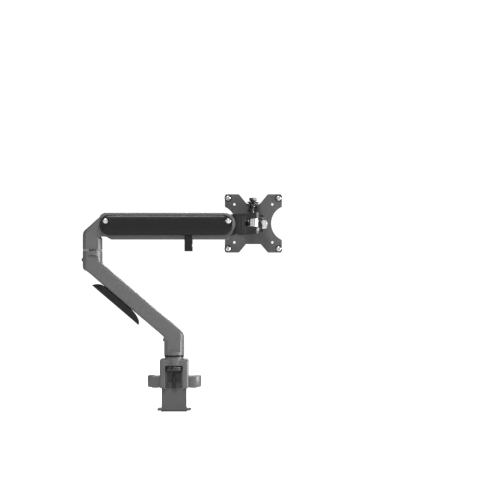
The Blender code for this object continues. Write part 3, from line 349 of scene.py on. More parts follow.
def tidy_mesh(mesh):
    """Merges doubles, so poles and seams close, and turns the faces outward."""
    bm = bmesh.new()
    bm.from_mesh(mesh)
    bmesh.ops.remove_doubles(bm, verts=bm.verts, dist=MERGE)
    bmesh.ops.recalc_face_normals(bm, faces=bm.faces)
    bm.to_mesh(mesh)
    bm.free()


def skin(rings, wrap=False):
    """The closed surface over a grid of rings, rows by points by three, in millimetres.

    wrap joins the last ring to the first; otherwise the first and last rings are closed.
    """
    rows, columns = rings.shape[:2]
    index = np.arange(rows * columns).reshape(rows, columns)
    beside = np.roll(index, -1, 1)
    quads = np.stack([index, beside, np.roll(beside, -1, 0), np.roll(index, -1, 0)], -1)
    faces = quads[:rows if wrap else -1].reshape(-1, 4).tolist()
    if not wrap:
        faces += [index[0].tolist(), index[-1].tolist()]
    mesh = bpy.data.meshes.new("surface")
    mesh.from_pydata((rings.reshape(-1, 3) * MM).tolist(), [], faces)
    tidy_mesh(mesh)
    shape = bpy.data.objects.new("surface", mesh)
    bpy.context.scene.collection.objects.link(shape)
    return shape


AXIS_ORDER = {"X": (2, 0, 1), "Y": (1, 2, 0), "Z": (0, 1, 2)}


def on_axis(across, beside, along, axis, place):
    """Puts (across, beside, along) on the world axes so that along runs on the named axis."""
    local = np.stack([across, beside, along], -1)
    return local[..., AXIS_ORDER[axis]] + np.asarray(place, float)


def hexagon(angles):
    """Distance to a hexagon's side over the distance to its flat: 1 / cos(angle from flat)."""
    return 1 / np.cos((angles + np.pi / 6) % (np.pi / 3) - np.pi / 6)


def cross(angles):
    """A cross-head recess: 0.3 + 0.7 |cos 2a|^4."""
    return 0.3 + 0.7 * np.abs(np.cos(2 * angles)) ** 4


def round_ring(angles):
    return np.ones_like(angles)


def knurl(count, depth):
    """A knurled rim: 1 - depth (1/2 - 1/2 cos(count a))^3."""
    return lambda angles: 1 - depth * (0.5 - 0.5 * np.cos(count * angles)) ** 3


def turned(profile, place, axis="Z", sides=48, size=0.3, wrap=False, facing=1, steps=3):
    """A turned shape: a profile of (radius, height[, ring shape]) carried round an axis.

    A point is (r f(a) cos a, r f(a) sin a, h), where f is the row's ring shape. wrap closes
    the profile on itself, for a washer. facing -1 points the heights the other way.
    """
    shapes = [row[2] if len(row) > 2 else round_ring for row in profile]
    corner = np.full(len(profile), float(size))
    if not wrap:
        corner[[0, -1]] = 0
    rounded = round_corners([row[:2] for row in profile], corner, steps)
    angles = np.linspace(0, 2 * np.pi, sides, endpoint=False)
    factor = np.repeat([shape(angles) for shape in shapes], steps + 1, axis=0)
    radius = rounded[:, :1] * factor
    height = np.broadcast_to(rounded[:, 1:] * facing, radius.shape)
    return skin(on_axis(radius * np.cos(angles), radius * np.sin(angles), height, axis, place),
                wrap)


def prism(outline, axis, start, end, edge=0.0, steps=4):
    """An outline carried straight along an axis; its rim is rounded by a quarter circle.

    At rim angle q the outline is moved in along its normal by edge (1 - sin q), and lies
    edge (1 - cos q) inside the end face.
    """
    outline = np.asarray(outline, float)
    run = np.roll(outline, -1, 0) - np.roll(outline, 1, 0)
    area = np.sum(outline[:, 0] * np.roll(outline[:, 1], -1)
                  - np.roll(outline[:, 0], -1) * outline[:, 1])
    inward = np.stack([-run[:, 1], run[:, 0]], 1) * np.sign(area)
    inward /= np.maximum(np.linalg.norm(inward, axis=1, keepdims=True), 1e-9)
    q = np.linspace(0, np.pi / 2, steps + 1)
    inset = edge * (1 - np.sin(q))
    level = edge * (1 - np.cos(q))
    inset = np.concatenate([inset, inset[::-1]])[:, None, None]
    height = np.concatenate([start + level, (end - level)[::-1]])
    flat = outline[None] + inward[None] * inset
    height = np.broadcast_to(height[:, None], flat.shape[:2])
    if axis == "Y":
        return skin(np.stack([flat[..., 0], height, flat[..., 1]], -1))
    if axis == "X":
        return skin(np.stack([height, flat[..., 0], flat[..., 1]], -1))
    return skin(np.stack([flat[..., 0], flat[..., 1], height], -1))


def settle(shape):
    """Applies a shape's modifiers to its mesh."""
    graph = bpy.context.evaluated_depsgraph_get()
    mesh = bpy.data.meshes.new_from_object(shape.evaluated_get(graph))
    shape.modifiers.clear()
    shape.data = mesh
    return shape


def combine(shape, operation, *tools):
    """Joins tools to a shape (UNION) or cuts them out of it (DIFFERENCE)."""
    for tool in tools:
        modifier = shape.modifiers.new(operation.title(), "BOOLEAN")
        modifier.operation, modifier.solver, modifier.object = operation, "EXACT", tool
    settle(shape)
    for tool in tools:
        bpy.data.objects.remove(tool)
    return shape


def soften(shape, width, segments=2):
    """Small rounds on the sharp edges, with the flats kept flat."""
    modifier = shape.modifiers.new("Soft edges", "BEVEL")
    modifier.width, modifier.segments = width * MM, segments
    modifier.limit_method, modifier.angle_limit = "ANGLE", math.radians(30)
    modifier.harden_normals = True
    return shape


def place_piece(shape, node, look=None, sharp=40, stands_for=True, name=None):
    """Names a finished shape after its CAD node and hangs it on the node's body.

    It takes the node's place, unless stands_for is off: then it is a piece beside the node.
    """
    shape.name = shape.data.name = name or node + "_body"
    source = NODES[node]
    slot = source.data.materials[0].name.split(".")[0]
    shape.data.materials.clear()
    shape.data.materials.append(look or LOOKS[slot])
    shape.data.shade_smooth()
    shape.data.set_sharp_from_angle(angle=math.radians(sharp))
    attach(shape, BODY_OF[node])
    if stands_for:
        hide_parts(node)
    return shape


def cad_copy(node):
    """A merged copy of a CAD node's mesh, with its flat triangles joined into faces."""
    mesh = NODES[node].data.copy()
    bm = bmesh.new()
    bm.from_mesh(mesh)
    bmesh.ops.remove_doubles(bm, verts=bm.verts, dist=MERGE)
    bmesh.ops.dissolve_limit(bm, angle_limit=math.radians(1.0), verts=bm.verts, edges=bm.edges)
    bm.to_mesh(mesh)
    bm.free()
    mesh.materials.clear()
    if mesh.attributes.get("custom_normal"):
        mesh.attributes.remove(mesh.attributes["custom_normal"])
    shape = bpy.data.objects.new(node + "_copy", mesh)
    bpy.context.scene.collection.objects.link(shape)
    return shape


def from_cad(node, width, segments=2):
    """The CAD shape with its edges rounded as a casting's or a pressing's are."""
    return place_piece(soften(cad_copy(node), width, segments), node)


def rectangle(x0, y0, x1, y1, corner, steps=6):
    """A rectangle's outline with rounded corners."""
    return round_corners([(x0, y0), (x1, y0), (x1, y1), (x0, y1)], corner, steps)


def arc(u, v, radius, start, end, steps=16):
    """Points on a circle about (u, v) from one angle to another, in degrees."""
    angles = np.radians(np.linspace(start, end, steps + 1))
    return np.stack([u + radius * np.cos(angles), v + radius * np.sin(angles)], 1)


def hole(place, axis, radius, start, end, sides=48):
    """A plain round tool for cutting, from start to end on its axis."""
    keep = [0.0 if name == axis else value for name, value in zip("XYZ", place)]
    return turned([(0, end), (radius, end), (radius, start), (0, start)], keep, axis, sides, 0)


# ------------------------------------------------------------------ desk clamp
def build_base():
    """The casting on the desk with its pads, and the post with the ring the arm turns on."""
    from_cad("base_casting", 0.8, 3)
    for node in ("base_pad_left", "base_pad_right"):
        (x0, y0, z0), (x1, y1, z1) = low(node), high(node)
        place_piece(prism(rectangle(x0, y0, x1, y1, 3), "Z", z0, z1, 0.3), node)
    (x0, _, z0), (x1, _, z1) = low("post"), high("post")
    radius = (x1 - x0) / 2
    place_piece(turned([(0, z1), (radius, z1), (radius, z0), (0, z0)], (0, 0, 0), size=0.9), "post")
    outer, (_, _, z0), (_, _, z1) = high("post_ring")[0], low("post_ring"), high("post_ring")
    ring = turned([(radius + 0.3, z1), (outer - 0.4, z1), (outer, (z0 + z1) / 2), (outer - 0.4, z0),
                   (radius + 0.3, z0)], (0, 0, 0), sides=96, size=0.6, wrap=True)
    place_piece(ring, "post_ring")
    # a dark plate on the window's back wall: painted shade for the shadowed hollow behind the window
    back = low("jaw_bracket")[1] + BRACKET_SHEET
    panel = prism(rectangle(-14, 12.6, 14, 32.4, 0.8, 3), "Y", back + 0.1, back + 0.42, 0.1, 2)
    place_piece(panel, "base_casting", PAINTED_SHADE_PANEL, stands_for=False, name="window_painted_shade_plate")


def build_jaw():
    """The bracket under the desk, its pads and the nut the clamp screw draws up."""
    from_cad("jaw_bracket", 0.6, 3)
    from_cad("jaw_edge_trim", 0.5)
    rear = low("jaw_bracket")[1]
    face = rear + BRACKET_SHEET
    # a dark plate over the tongue's front: painted shade where the tongue sits in the window's hollow
    front = prism([(-16.4, -0.4), (16.4, -0.4), (16.4, 2.2), (13.9, 2.2), (13.9, 12.2),
                   (-13.9, 12.2), (-13.9, 2.2), (-16.4, 2.2)], "Y", rear - 0.22, face + 0.03, 0.1, 2)
    place_piece(front, "jaw_bracket", PAINTED_SHADE_PANEL, stands_for=False, name="jaw_tongue_painted_shade")
    from_cad("jaw_nut", 0.4)
    (x0, y0, z0), (x1, y1, z1) = low("jaw_pad"), high("jaw_pad")
    pad = prism(rectangle(x0, y0, x1, y1, 4), "Z", z0, z1, 0.35)
    grooves = [prism(rectangle(x0 + 4, y - 0.8, x1 - 4, y + 0.8, 0.7, 3), "Z", z1 - 0.6, z1 + 1)
               for y in np.linspace(y0 + 6, y1 - 6, 5)]
    place_piece(combine(pad, "DIFFERENCE", *grooves), "jaw_pad")


def thread(radius, depth, pitch, bottom, top, place, sides=32, steps=8):
    """A screw thread: r = radius - depth |2 frac(h / pitch - a / 2 pi) - 1|, run out at its ends."""
    rows = int((top - bottom) / pitch * steps) + 1
    height = np.linspace(bottom, top, rows)[:, None]
    angles = np.linspace(0, 2 * np.pi, sides, endpoint=False)[None]
    phase = (height / pitch - angles / (2 * np.pi)) % 1.0
    end = np.clip(np.minimum(height - bottom, top - height) / (2 * pitch), 0, 1)
    reach = radius - depth * np.abs(2 * phase - 1) * end - depth * (1 - end)
    height = np.broadcast_to(height, reach.shape)
    return skin(on_axis(reach * np.cos(angles), reach * np.sin(angles), height, "Z", place))


def build_clamp_screw():
    """A threaded rod and the knurled wheel that turns it."""
    (x0, _, z0), (x1, _, z1) = low("clamp_screw"), high("clamp_screw")
    place = (CLAMP[0], CLAMP[1], 0)
    place_piece(thread((x1 - x0) / 2, 0.35, 1.25, z0, z1, place), "clamp_screw")
    outer = high("clamp_wheel")[0]
    z0, z1 = low("clamp_wheel")[2], high("clamp_wheel")[2]
    grip = knurl(30, 0.07)
    bore = (x1 - x0) / 2 + 0.3
    wheel = turned([(bore, z1), (outer - 2.4, z1), (outer, z1 - 1.4, grip), (outer, z0 + 1.4, grip),
                    (outer - 2.4, z0), (bore, z0)], place, sides=240, size=0.4, wrap=True)
    place_piece(wheel, "clamp_wheel", GLOSSY)


# ------------------------------------------------------------------ castings swept along edges
def casting(stations, radii, depth, flat, arches=()):
    """A cast arm between a left and a right edge, swept up through its stations.

    At each row a point is C + H a + Y b: C lies midway between the edges, H is half the way
    across. On the hubs a = cos q and b is r sin q cut off at the flat; on the bar a and b
    are |cos q|^(2/7) and depth |sin q|^(2/7) with their signs. The station's squareness mixes
    the two. Outside an arch the flat is not cut, which leaves a ledge over or under it.
    """
    table = np.array(stations, float)
    counts = table[:-1, 4].astype(int)
    rows = smooth_line(table[:, [0, 1, 2, 3, 5]], counts, 3)
    left, right, square = rows[:, 0:2], rows[:, 2:4], rows[:, 4:5]
    centre, half = (left + right) / 2, (right - left) / 2
    q = np.linspace(0, 2 * np.pi, 128, endpoint=False)[None]
    power = 2 / 7
    hub_a, bar_a = np.cos(q), np.sign(np.cos(q)) * np.abs(np.cos(q)) ** power
    across = (1 - square) * hub_a + square * bar_a
    x = centre[:, :1] + half[:, :1] * across
    z = centre[:, 1:] + half[:, 1:] * across
    radius = np.interp(rows[:, 1], [rows[0, 1], rows[-1, 1]], radii)[:, None]
    limit = np.full_like(x, flat)
    for axis_x, chord, foot, rise, upward in arches:
        edge = foot + rise * (1 - ((x - axis_x) / chord) ** 2)
        out = np.clip((z - edge) * upward / 0.5 + 0.5, 0, 1)
        limit += (radius + 0.2 - flat) * out * (np.abs(x - axis_x) < radius + 0.5)
    hub_b = np.clip(radius * np.sin(q), -limit, limit)
    bar_b = depth * np.sign(np.sin(q)) * np.abs(np.sin(q)) ** power
    y = (1 - square) * hub_b + square * bar_b
    rim_height, rim_shrink = 0.6, 0.028   # the end faces' rims are rounded over by these
    ends = np.minimum(np.abs(z - rows[0, 1]), np.abs(z - rows[-1, 1]))
    shrink = 1 - rim_shrink * np.clip(1 - ends / rim_height, 0, 1) ** 2
    x = centre[:, :1] + (x - centre[:, :1]) * shrink
    return skin(np.stack([x, y * shrink, z], -1))


def build_lower_arm():
    """The cast arm from the post to the elbow, bored for its bush, pin and set screws."""
    base, top = low("lower_arm")[2], high("lower_arm")[2]
    hub = high("lower_arm")[0]
    elbow = ELBOW[0] - low("lower_arm")[0]
    left, right = ELBOW[0] - elbow, ELBOW[0] + elbow
    stations = [   # left x and z, right x and z, steps to the next row, squareness
        (-hub, base, hub, base, 4, 0), (-hub, base + 0.8, hub, base + 0.8, 4, 0),
        (-hub, 68.0, hub, 68.0, 24, 0), (-hub, 74.0, hub, 74.0, 6, 0),
        (-hub, 88.0, hub, 92.0, 4, 0), (-19.5, 95.0, 19.3, 101.2, 4, 0.2),
        (-20.3, 98.6, 17.4, 106.6, 4, 0.6), (-21.7, 100.9, 11.0, 114.0, 4, 0.9),
        (-23.7, 102.9, 1.0, 122.6, 4, 1), (-27.5, 106.3, -7.5, 130.0, 5, 1),
        (-46.3, 122.2, -26.0, 144.6, 20, 1), (-146.0, 207.4, -125.7, 230.6, 4, 1),
        (-152.5, 212.9, -131.5, 235.7, 4, 1), (-162.0, 221.1, -135.0, 238.7, 4, 0.95),
        (-169.4, 226.9, -137.6, 241.3, 4, 0.8), (-175.6, 229.4, -138.9, 243.8, 4, 0.5),
        (left, 234.0, right, 247.0, 4, 0.15), (left, 250.0, right, 250.0, 3, 0),
        (left, 254.0, right, 254.0, 24, 0), (left, 260.0, right, 260.0, 4, 0),
        (left, top - 0.8, right, top - 0.8, 4, 0), (left, top, right, top, 1, 0)]
    arches = [(0.0, 11.65, 69.8, 2.6, -1), (ELBOW[0], 10.6, 255.8, 2.9, 1)]
    arm = casting(stations, (hub, elbow), 15.0, FLATS, arches)
    low_screw, high_screw = middle("base_set_screw"), middle("elbow_set_screw")
    combine(arm, "DIFFERENCE",
            hole((0, 0, 0), "Z", 10.8, base - 4, high("post_bushing")[2] + 0.3),
            hole(ELBOW, "Z", PIN_BORE, low("elbow_pin")[2] - 0.3, top + 4),
            hole(low_screw, "X", 3.2, -26, -5), hole(high_screw, "X", 3.2, left - 7, left + 13))
    place_piece(arm, "lower_arm", sharp=28)
    for node in ("base_set_screw", "elbow_set_screw"):
        start, end, radius = low(node)[0], high(node)[0], (high(node) - low(node))[2] / 2
        screw = turned([(0, end), (radius, end), (radius, start), (1.7, start),
                        (1.5, start + 0.1, hexagon), (1.5, start + 2.2, hexagon),
                        (0, start + 2.4)], (0, middle(node)[1], middle(node)[2]), "X", 48, 0.2)
        place_piece(screw, node)
    z0, z1 = low("elbow_washer")[2], high("elbow_washer")[2]
    washer = turned([(7.4, z1), (elbow - 0.25, z1), (elbow - 0.25, z0), (7.4, z0)],
                    (ELBOW[0], 0, 0), sides=96, size=0.25, wrap=True)
    place_piece(washer, "elbow_washer")
    (x0, _, z0), (x1, _, z1) = low("elbow_pin"), high("elbow_pin")
    radius = (x1 - x0) / 2
    pin = turned([(0, z1), (radius, z1), (radius, z0), (0, z0)], (ELBOW[0], 0, 0), size=0.9)
    place_piece(pin, "elbow_pin")


COVER_START = np.array([-170.1, 228.0])
COVER_SLOPE = math.radians(-40.5)


def scoop(contour, bottom, half, tuck, power):
    """A tray under the bar: at each distance along it, y = half |cos q|^p with its sign and
    depth = top + (bottom - top) |sin q|^p, q from 0 to pi; tuck narrows it at its two ends."""
    line = smooth_line(contour, [6] * (len(contour) - 1), 4)
    along, top = line[:, :1], line[:, 1:]
    q = np.linspace(0, np.pi, 41)[None]
    start, end = along.min(), along.max()
    nose = np.clip(1 - np.minimum(along - start, end - along) / 22, 0, 1) ** 2
    y = -(half - tuck * nose) * np.sign(np.cos(q)) * np.abs(np.cos(q)) ** power
    depth = top + (bottom - top) * np.abs(np.sin(q)) ** power
    down = np.array([math.sin(COVER_SLOPE), -math.cos(COVER_SLOPE)])
    forth = np.array([math.cos(COVER_SLOPE), math.sin(COVER_SLOPE)])
    x = COVER_START[0] + along * forth[0] + depth * down[0]
    z = COVER_START[1] + along * forth[1] + depth * down[1]
    return skin(np.stack([x, y, z], -1))


def build_cable_cover():
    """The tray that hides a cable under the lower arm's bar, hollow and open towards it."""
    contour = [(26.5, 14.6), (28.4, 10.4), (32, 6.6), (38, 2.6), (46, 0.8), (80, 0.8), (113, 0.8),
               (127, 2.8), (137.5, 6.6), (143, 10.8), (145, 14.6)]
    shell = scoop(contour, 14.8, 14.0, 4.0, 0.42)
    inside = scoop([(31, -4), (60, -4), (110, -4), (140.5, -4)], 12.4, 11.6, 3.4, 0.42)
    place_piece(combine(shell, "DIFFERENCE", inside), "cable_cover", sharp=35)


# ------------------------------------------------------------------ elbow and gas spring
def pan_head(node, side):
    """A pivot along Y: a domed head with a hexagon recess, or a flat head if it is thin."""
    start, top = sorted((low(node)[1] * side, high(node)[1] * side))
    radius = (high(node) - low(node))[0] / 2
    base = top - (4.9 if radius < 5.3 and top > 20 else 1.3)
    centre = middle(node)
    profile = [(0, top - 1.6), (1.75, top - 1.6, hexagon), (1.8, top - 0.25, hexagon), (2.3, top),
               (radius - 1.3, top - 0.05), (radius - 0.25, top - 0.7), (radius, top - 1.6),
               (radius, base), (4.0, base), (4.0, start), (0, start)]
    if top - base < 1.6:
        profile = [(0, top), (radius - 0.5, top), (radius, top - 0.5), (radius, base), (4.0, base),
                   (4.0, start), (0, start)]
    screw = turned(profile, (centre[0], 0, centre[2]), "Y", 48, 0.25, facing=side)
    place_piece(screw, node, sharp=50)


def build_pivots():
    """The screws that carry the upper link, and the pins that carry the lower one."""
    for end in ("a", "b"):
        for side, word in ((REAR, "rear"), (FRONT, "front")):
            pan_head("pivot_screw_%s_%s" % (end, word), side)
            pan_head("lower_pin_%s_%s" % (end, word), side)


def build_elbow():
    """The bracket on the elbow pin: rolled sides below, a slanted back and a fork above."""
    base = low("elbow_bracket")[2]
    radius = ELBOW[0] - low("lower_arm")[0]
    left, right = ELBOW[0] - radius, ELBOW[0] + radius
    stations = [
        (left, base, right, base, 4, 0), (left, base + 0.8, right, base + 0.8, 4, 0),
        (left, 284.0, right, 284.0, 4, 0), (left, 297.0, right, 290.5, 4, 0),
        (left + 0.5, 301.5, -143.0, 295.0, 4, 0), (-174.6, 306.6, -143.0, 301.0, 4, 0),
        (-166.0, 313.6, -143.0, 306.0, 5, 0), (-156.0, 322.9, -142.8, 312.5, 5, 0),
        (-148.0, 330.2, -142.0, 320.0, 4, 0), (-143.0, 334.7, -140.6, 327.5, 4, 0),
        (-140.2, 336.9, -139.3, 332.5, 3, 0), (-138.9, 337.8, -138.7, 336.9, 1, 0)]
    body = casting(stations, (radius, radius), FLATS, FLATS)
    tongue = prism(np.concatenate([arc(UPPER_A[0], UPPER_A[2], 10.8, 0, 120),
                                   [(-147, 328), (-152, 318), (-152, 294)],
                                   arc(LOWER_A[0], LOWER_A[2], 10.8, 250, 360)]),
                   "Y", -13.5, 13.5, 0.5)
    fork = prism([(-150, 294), (-110, 294), (-110, 345), (-150, 345)], "Y", -10, 10)
    combine(body, "UNION", tongue)
    combine(body, "DIFFERENCE", fork, hole(ELBOW, "Z", PIN_BORE, 260, 291),
            hole(TENSION, "Z", 2.8, 285, 300), hole(UPPER_A, "Y", 4.3, -20, 20),
            hole(LOWER_A, "Y", 4.3, -20, 20))
    place_piece(body, "elbow_bracket", sharp=30)


def build_spring():
    """The tension screw and its carriage, and the gas spring between its two pins."""
    top, bottom = high("tension_screw")[2], low("tension_screw")[2]
    place = (TENSION[0], TENSION[1], 0)
    head = turned([(0, top - 2.4), (1.9, top - 2.4, hexagon), (2.0, top - 0.2, hexagon), (2.6, top),
                   (4.4, top, knurl(24, 0.05)), (4.4, top - 5, knurl(24, 0.05)), (2.3, top - 5),
                   (2.3, top - 6), (0, top - 6)], place, sides=96, size=0.3)
    shank = thread(2.5, 0.35, 0.8, bottom, top - 4.6, place)
    place_piece(combine(head, "UNION", shank), "tension_screw")
    from_cad("tension_carriage", 0.5)
    from_cad("spring_saddle", 0.4)
    from_cad("gas_spring_cylinder", 0.5, 3)
    from_cad("gas_spring_rod", 0.4)


# ------------------------------------------------------------------ parallel links
def round_bar(section, u0, u1, v0, v1, steps=28, straight=60):
    """A section carried round a bar with round ends: a point is S + N (R - d) at height y.

    S runs along the middle line, N is the outline's normal and R the end radius; each row of
    the section is (d, y), so at d = R the surface closes on the middle line.
    """
    radius, level = (v1 - v0) / 2, (v0 + v1) / 2
    turn = np.radians(np.linspace(-90, 90, steps + 1))
    run = np.linspace(0, 1, straight + 1)[1:-1]
    right, left = u1 - radius, u0 + radius
    s = np.concatenate([np.full(steps + 1, right), right + (left - right) * run,
                        np.full(steps + 1, left), left + (right - left) * run])
    angles = np.concatenate([turn, np.full(straight - 1, np.pi / 2), turn + np.pi,
                             np.full(straight - 1, -np.pi / 2)])
    section = np.asarray(section, float)
    reach = radius - section[:, :1]
    x = s[None] + np.cos(angles)[None] * reach
    z = level + np.sin(angles)[None] * reach
    y = np.broadcast_to(section[:, 1:], x.shape)
    return skin(np.stack([x, y, z], -1))


def build_side_covers():
    """The plain crowned covers on the upper link, with a well round each screw."""
    for node, side in (("cover_rear", REAR), ("cover_front", FRONT)):
        (x0, y0, z0), (x1, y1, z1) = low(node), high(node)
        inner, outer = sorted((abs(y0), abs(y1)))
        radius = (z1 - z0) / 2
        shoulder, wall = inner + 1.3, 2.2
        t = np.linspace(0, 1, 22)
        crown = shoulder + (outer - shoulder) * (1 - (1 - t) ** 2) ** 0.5
        face = np.stack([radius * t, crown], 1)[::-1]
        under = np.stack([wall + (radius - wall) * t,
                          inner + 1.0 + (outer - wall - inner - 1.0)
                          * (1 - (1 - t) ** 2) ** 0.5], 1)
        section = np.concatenate([face, [(0, inner + 0.2), (0.2, inner)],
                                  [(wall, inner)], under])
        section[:, 1] *= side
        shell = round_bar(section, x0, x1, z0, z1)
        wells = [turned([(0, 40), (6.9, 40), (6.9, outer - 0.1), (6.0, outer - 1.0), (6.0, 18),
                         (0, 18)], (pivot[0], 0, pivot[2]), "Y", 64, 0.15, facing=side)
                 for pivot in (UPPER_A, UPPER_B)]
        place_piece(combine(shell, "DIFFERENCE", *wells), node, sharp=40)


def build_links():
    """The upper link with a squarer corner on each side wall, the lower link and their fittings."""
    link = cad_copy("upper_link")
    x0, top, wall = low("upper_link")[0], high("upper_link")[2], high("upper_link")[1]
    for side in (REAR, FRONT):
        near, far = sorted((side * (wall - 2.95), side * (wall - 0.05)))
        combine(link, "UNION", prism([(x0 + 0.3, 334.4), (x0 + 4.2, 338.2), (x0 + 9.5, top - 0.1),
                                      (x0 + 21, top - 0.1), (x0 + 21, 330), (x0 + 3, 330)],
                                     "Y", near, far))
    place_piece(soften(link, 0.45), "upper_link")
    from_cad("lower_link", 0.5)
    from_cad("cable_clip", 0.5, 3)
    from_cad("spring_anchor_pin", 0.4)


# ------------------------------------------------------------------ head
def build_yoke():
    """The black casting at the arm's end, its ribs, the swivel pin and the pinch screw."""
    from_cad("front_yoke", 0.8, 3)
    side_y = high("front_yoke")[1]
    for number, x in enumerate((126.5, 132.2)):
        for side, word in ((REAR, "rear"), (FRONT, "front")):
            depth = side_y if x < 130 else side_y - 1.0
            near, far = sorted((side * (depth - 1.2), side * (depth + 0.35)))
            rib = prism(rectangle(x - 0.5, 302.5, x + 0.5, 334.5, 0.45, 4), "Y", near, far, 0.3)
            place_piece(rib, "front_yoke", stands_for=False,
                        name="yoke_rib_%d_%s" % (number + 1, word))
    top, bottom = high("swivel_pin")[2], low("swivel_pin")[2]
    pin = turned([(0, top - 0.5), (2.6, top - 0.5), (3.0, top), (4.0, top), (4.0, bottom),
                  (0, bottom)], (SWIVEL[0], SWIVEL[1], 0), size=0.3)
    place_piece(pin, "swivel_pin")
    (x0, y0, _), (x1, y1, _) = low("pinch_screw"), high("pinch_screw")
    centre, radius = middle("pinch_screw"), (x1 - x0) / 2
    screw = turned([(0, y1), (radius, y1), (radius, y0), (1.8, y0), (1.5, y0 + 0.1, hexagon),
                    (1.5, y0 + 2.5, hexagon), (0, y0 + 2.6)], (centre[0], 0, centre[2]), "Y", 48, 0.2)
    place_piece(screw, "pinch_screw", LOOKS["steel"])


def build_tilt():
    """The knuckle, the tilt bracket with its bolt, nut and washers, and the plate's hub."""
    from_cad("swivel_knuckle", 0.7, 3)
    from_cad("tilt_bracket", 0.7, 3)
    place = (0, TILT[1], TILT[2])
    (x0, _, _), (x1, _, _) = low("tilt_bolt"), high("tilt_bolt")
    head = low("tilt_bracket")[0] + 3.3
    bolt = turned([(0, x1), (3.9, x1), (4.5, x1 - 0.8), (4.5, head), (6.6, head), (6.6, x0),
                   (3.1, x0), (2.6, x0 + 0.3, hexagon), (2.6, x0 + 2.6, hexagon), (0, x0 + 2.8)],
                  place, "X", 48, 0.35)
    place_piece(bolt, "tilt_bolt")
    for node in ("tilt_washer_left", "tilt_washer_right"):
        start, end, outer = low(node)[0], high(node)[0], (high(node) - low(node))[2] / 2
        place_piece(turned([(4.8, end), (outer, end), (outer, start), (4.8, start)], place, "X",
                           64, 0.25, True), node)
    place_piece(hex_nut(low("tilt_nut")[0], high("tilt_nut")[0], 19.0, place), "tilt_nut", sharp=25)
    y0, y1 = low("rotation_hub")[1], high("rotation_hub")[1]
    hub = turned([(0, y1), (8.2, y1), (8.2, y1 - 3.1), (14, y1 - 3.1), (14, 66), (19.6, 66),
                  (21, 64.8), (21, 61.4), (20.4, 61.0), (20.4, 60.2), (21, 59.8), (21, y0),
                  (0, y0)], (SWIVEL[0], 0, PLATE[2]), "Y", 96, 0.35)
    place_piece(hub, "rotation_hub", sharp=50)
    from_cad("retaining_ring", 0.15)


def hex_nut(start, end, flats, place):
    """A hexagon nut: r is the less of the hexagon's reach and a cone at each end."""
    bore, bevel, land = 4.8, 1.6, flats / 2 - 0.3
    height = np.concatenate([[start], np.linspace(start, start + bevel, 6),
                             np.linspace(end - bevel, end, 6), [end]])[:, None]
    angles = np.linspace(0, 2 * np.pi, 144, endpoint=False)[None]
    from_end = np.minimum(height - start, end - height)
    reach = np.minimum(flats / 2 * hexagon(angles), land + from_end * 1.75)
    reach[[0, -1]] = bore
    rows = np.broadcast_to(height, reach.shape)
    return skin(on_axis(reach * np.cos(angles), reach * np.sin(angles), rows, "X", place), True)


def build_plate():
    """The screen plate, its screws on thin washers, and the latch housing."""
    from_cad("vesa_plate", 0.4, 2)
    from_cad("latch_housing", 0.5)
    rear = low("vesa_plate")[1]
    for height in ("lower", "upper"):
        for side in ("left", "right"):
            node = "vesa_screw_%s_%s" % (height, side)
            centre, head, tip = middle(node), low(node)[1], high(node)[1]
            place = (centre[0], 0, centre[2])
            screw = turned([(0, head + 1.9), (0.9, head + 1.8, cross), (2.6, head + 0.25, cross),
                            (2.9, head + 0.05), (3.7, head + 0.35), (4.8, head + 1.25),
                            (5.3, head + 2.2), (5.3, head + 2.7), (2.1, head + 2.7),
                            (2.1, tip - 0.6), (1.5, tip), (0, tip)], place, "Y", 64, 0.3)
            place_piece(screw, node, sharp=50)
            washer = turned([(5.5, rear - 0.08), (7.0, rear - 0.08), (7.0, rear - 0.75),
                             (5.5, rear - 0.75)], place, "Y", 64, 0.2, True)
            place_piece(washer, node, LOOKS["rubber"], stands_for=False,
                        name="screw_washer_%s_%s" % (height, side))


def build_latch():
    """The ribbed release knob on its plunger."""
    top, bottom = high("latch_knob")[2], low("latch_knob")[2]
    grip = knurl(24, 0.05)
    knob = turned([(0, top), (6.8, top), (7.8, top - 1, grip), (7.8, top - 5.6, grip),
                   (5.6, top - 6.4), (5.6, top - 7.3), (11.0, top - 7.7), (12.0, top - 8.7, grip),
                   (11.0, top - 10), (8.5, top - 10.8), (8.5, top - 11.9), (12.6, top - 12.6),
                   (13.6, top - 14.2, grip), (12.4, top - 16), (9.0, top - 17.3), (3.3, bottom),
                   (3.3, bottom + 12.5), (0, bottom + 12.5)],
                  (LATCH[0], LATCH[1], 0), sides=192, size=0.45)
    place_piece(knob, "latch_knob", GLOSSY, sharp=60)
    coil = place_piece(cad_copy("latch_spring"), "latch_spring")
    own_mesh(coil)


def finish_bare_nodes():
    """The CAD pieces that stay take the finish of their slot."""
    for node in NODES.values():
        slot = node.data.materials[0].name.split(".")[0]
        node.material_slots[0].link = "OBJECT"
        node.material_slots[0].material = LOOKS[slot]


# ------------------------------------------------------------------ studio
WORLD_LIGHT, FLOOR_GLOW = 0.16, 0.8
LAMPS = [   # name, place in metres, size in metres, power in watts
    ("key_light", (-0.2, -1.7, 2.3), 0.9, 62.0),
    ("right_strip", (1.9, -0.35, 0.4), 0.8, 48.0),
    ("left_fill", (-1.9, -1.4, 0.7), 0.8, 7.0),
    ("front_wall", (0.2, -6.4, 0.9), 4.5, 45.0),
    ("rear_fill", (0.5, 1.9, 1.5), 1.2, 30.0),
]


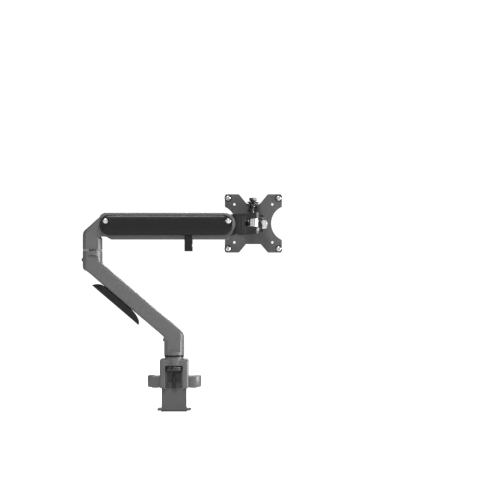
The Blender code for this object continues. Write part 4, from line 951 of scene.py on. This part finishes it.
def build_studio():
    """A pale floor and world, a soft key above, fills at both sides, and a long-lens camera."""
    floor_z = CAD_BOX[0][2]
    angles = np.linspace(0, 2 * np.pi, 96, endpoint=False)
    radius = np.array([0.0, 1.0, 2.0, 3.0])[:, None] * 1000
    x, y = radius * np.cos(angles), radius * np.sin(angles)
    disc = np.stack([x, y, np.full_like(x, floor_z / MM - 0.3)], -1)
    under = disc[::-1] - [0, 0, 20]
    floor = skin(np.concatenate([disc, under]))
    floor.name = "studio_floor"
    paper = bpy.data.materials.new("studio_paper")
    paper.use_nodes = True
    shader = paper.node_tree.nodes["Principled BSDF"]
    tone = tint(paper.node_tree, object_noise(paper.node_tree, 3.0, 2.0), (0.86, 0.86, 0.86, 1),
                (0.9, 0.9, 0.9, 1))
    paper.node_tree.links.new(tone, shader.inputs["Base Color"])
    shader.inputs["Roughness"].default_value = 0.9
    seen = add(paper.node_tree, "ShaderNodeLightPath").outputs["Is Camera Ray"]
    glow = maths(paper.node_tree, "MULTIPLY", seen, FLOOR_GLOW)
    paper.node_tree.links.new(glow, shader.inputs["Emission Strength"])
    shader.inputs["Emission Color"].default_value = (1, 1, 1, 1)
    floor.data.materials.append(paper)

    world = bpy.data.worlds.new("studio_world")
    bpy.context.scene.world = world
    world.use_nodes = True
    back = world.node_tree.nodes["Background"]
    back.inputs["Color"].default_value = (1.0, 1.0, 1.0, 1)
    seen = add(world.node_tree, "ShaderNodeLightPath").outputs["Is Camera Ray"]
    strength = maths(world.node_tree, "ADD", maths(world.node_tree, "MULTIPLY", seen, 1.0),
                     WORLD_LIGHT)
    world.node_tree.links.new(strength, back.inputs["Strength"])

    for name, place, size, power in LAMPS:
        light = bpy.data.lights.new(name, "AREA")
        light.shape, light.size, light.energy = "DISK", size, power
        lamp = bpy.data.objects.new(name, light)
        bpy.context.scene.collection.objects.link(lamp)
        lamp.location = place
        aim = Vector((0.0, 0.0, 0.2)) - lamp.location
        lamp.rotation_euler = aim.to_track_quat("-Z", "Y").to_euler()

    lens, sensor = 180.0, 36.0                            # millimetres
    view_width, camera_x, camera_z = 0.972, 0.1474, 0.2683   # metres, the width at the part
    camera = bpy.data.objects.new("camera", bpy.data.cameras.new("camera"))
    camera.data.lens, camera.data.sensor_width = lens, sensor
    camera.location = (camera_x, -view_width * lens / sensor, camera_z)
    camera.rotation_euler = (math.radians(90), 0, 0)
    camera.data.clip_end = 60.0
    bpy.context.scene.collection.objects.link(camera)
    bpy.context.scene.camera = camera
    bpy.context.scene.view_settings.view_transform = "Standard"


finish_bare_nodes()
build_base()
build_jaw()
build_clamp_screw()
build_lower_arm()
build_cable_cover()
build_elbow()
build_pivots()
build_spring()
build_links()
build_side_covers()
build_yoke()
build_tilt()
build_plate()
build_latch()
build_studio()
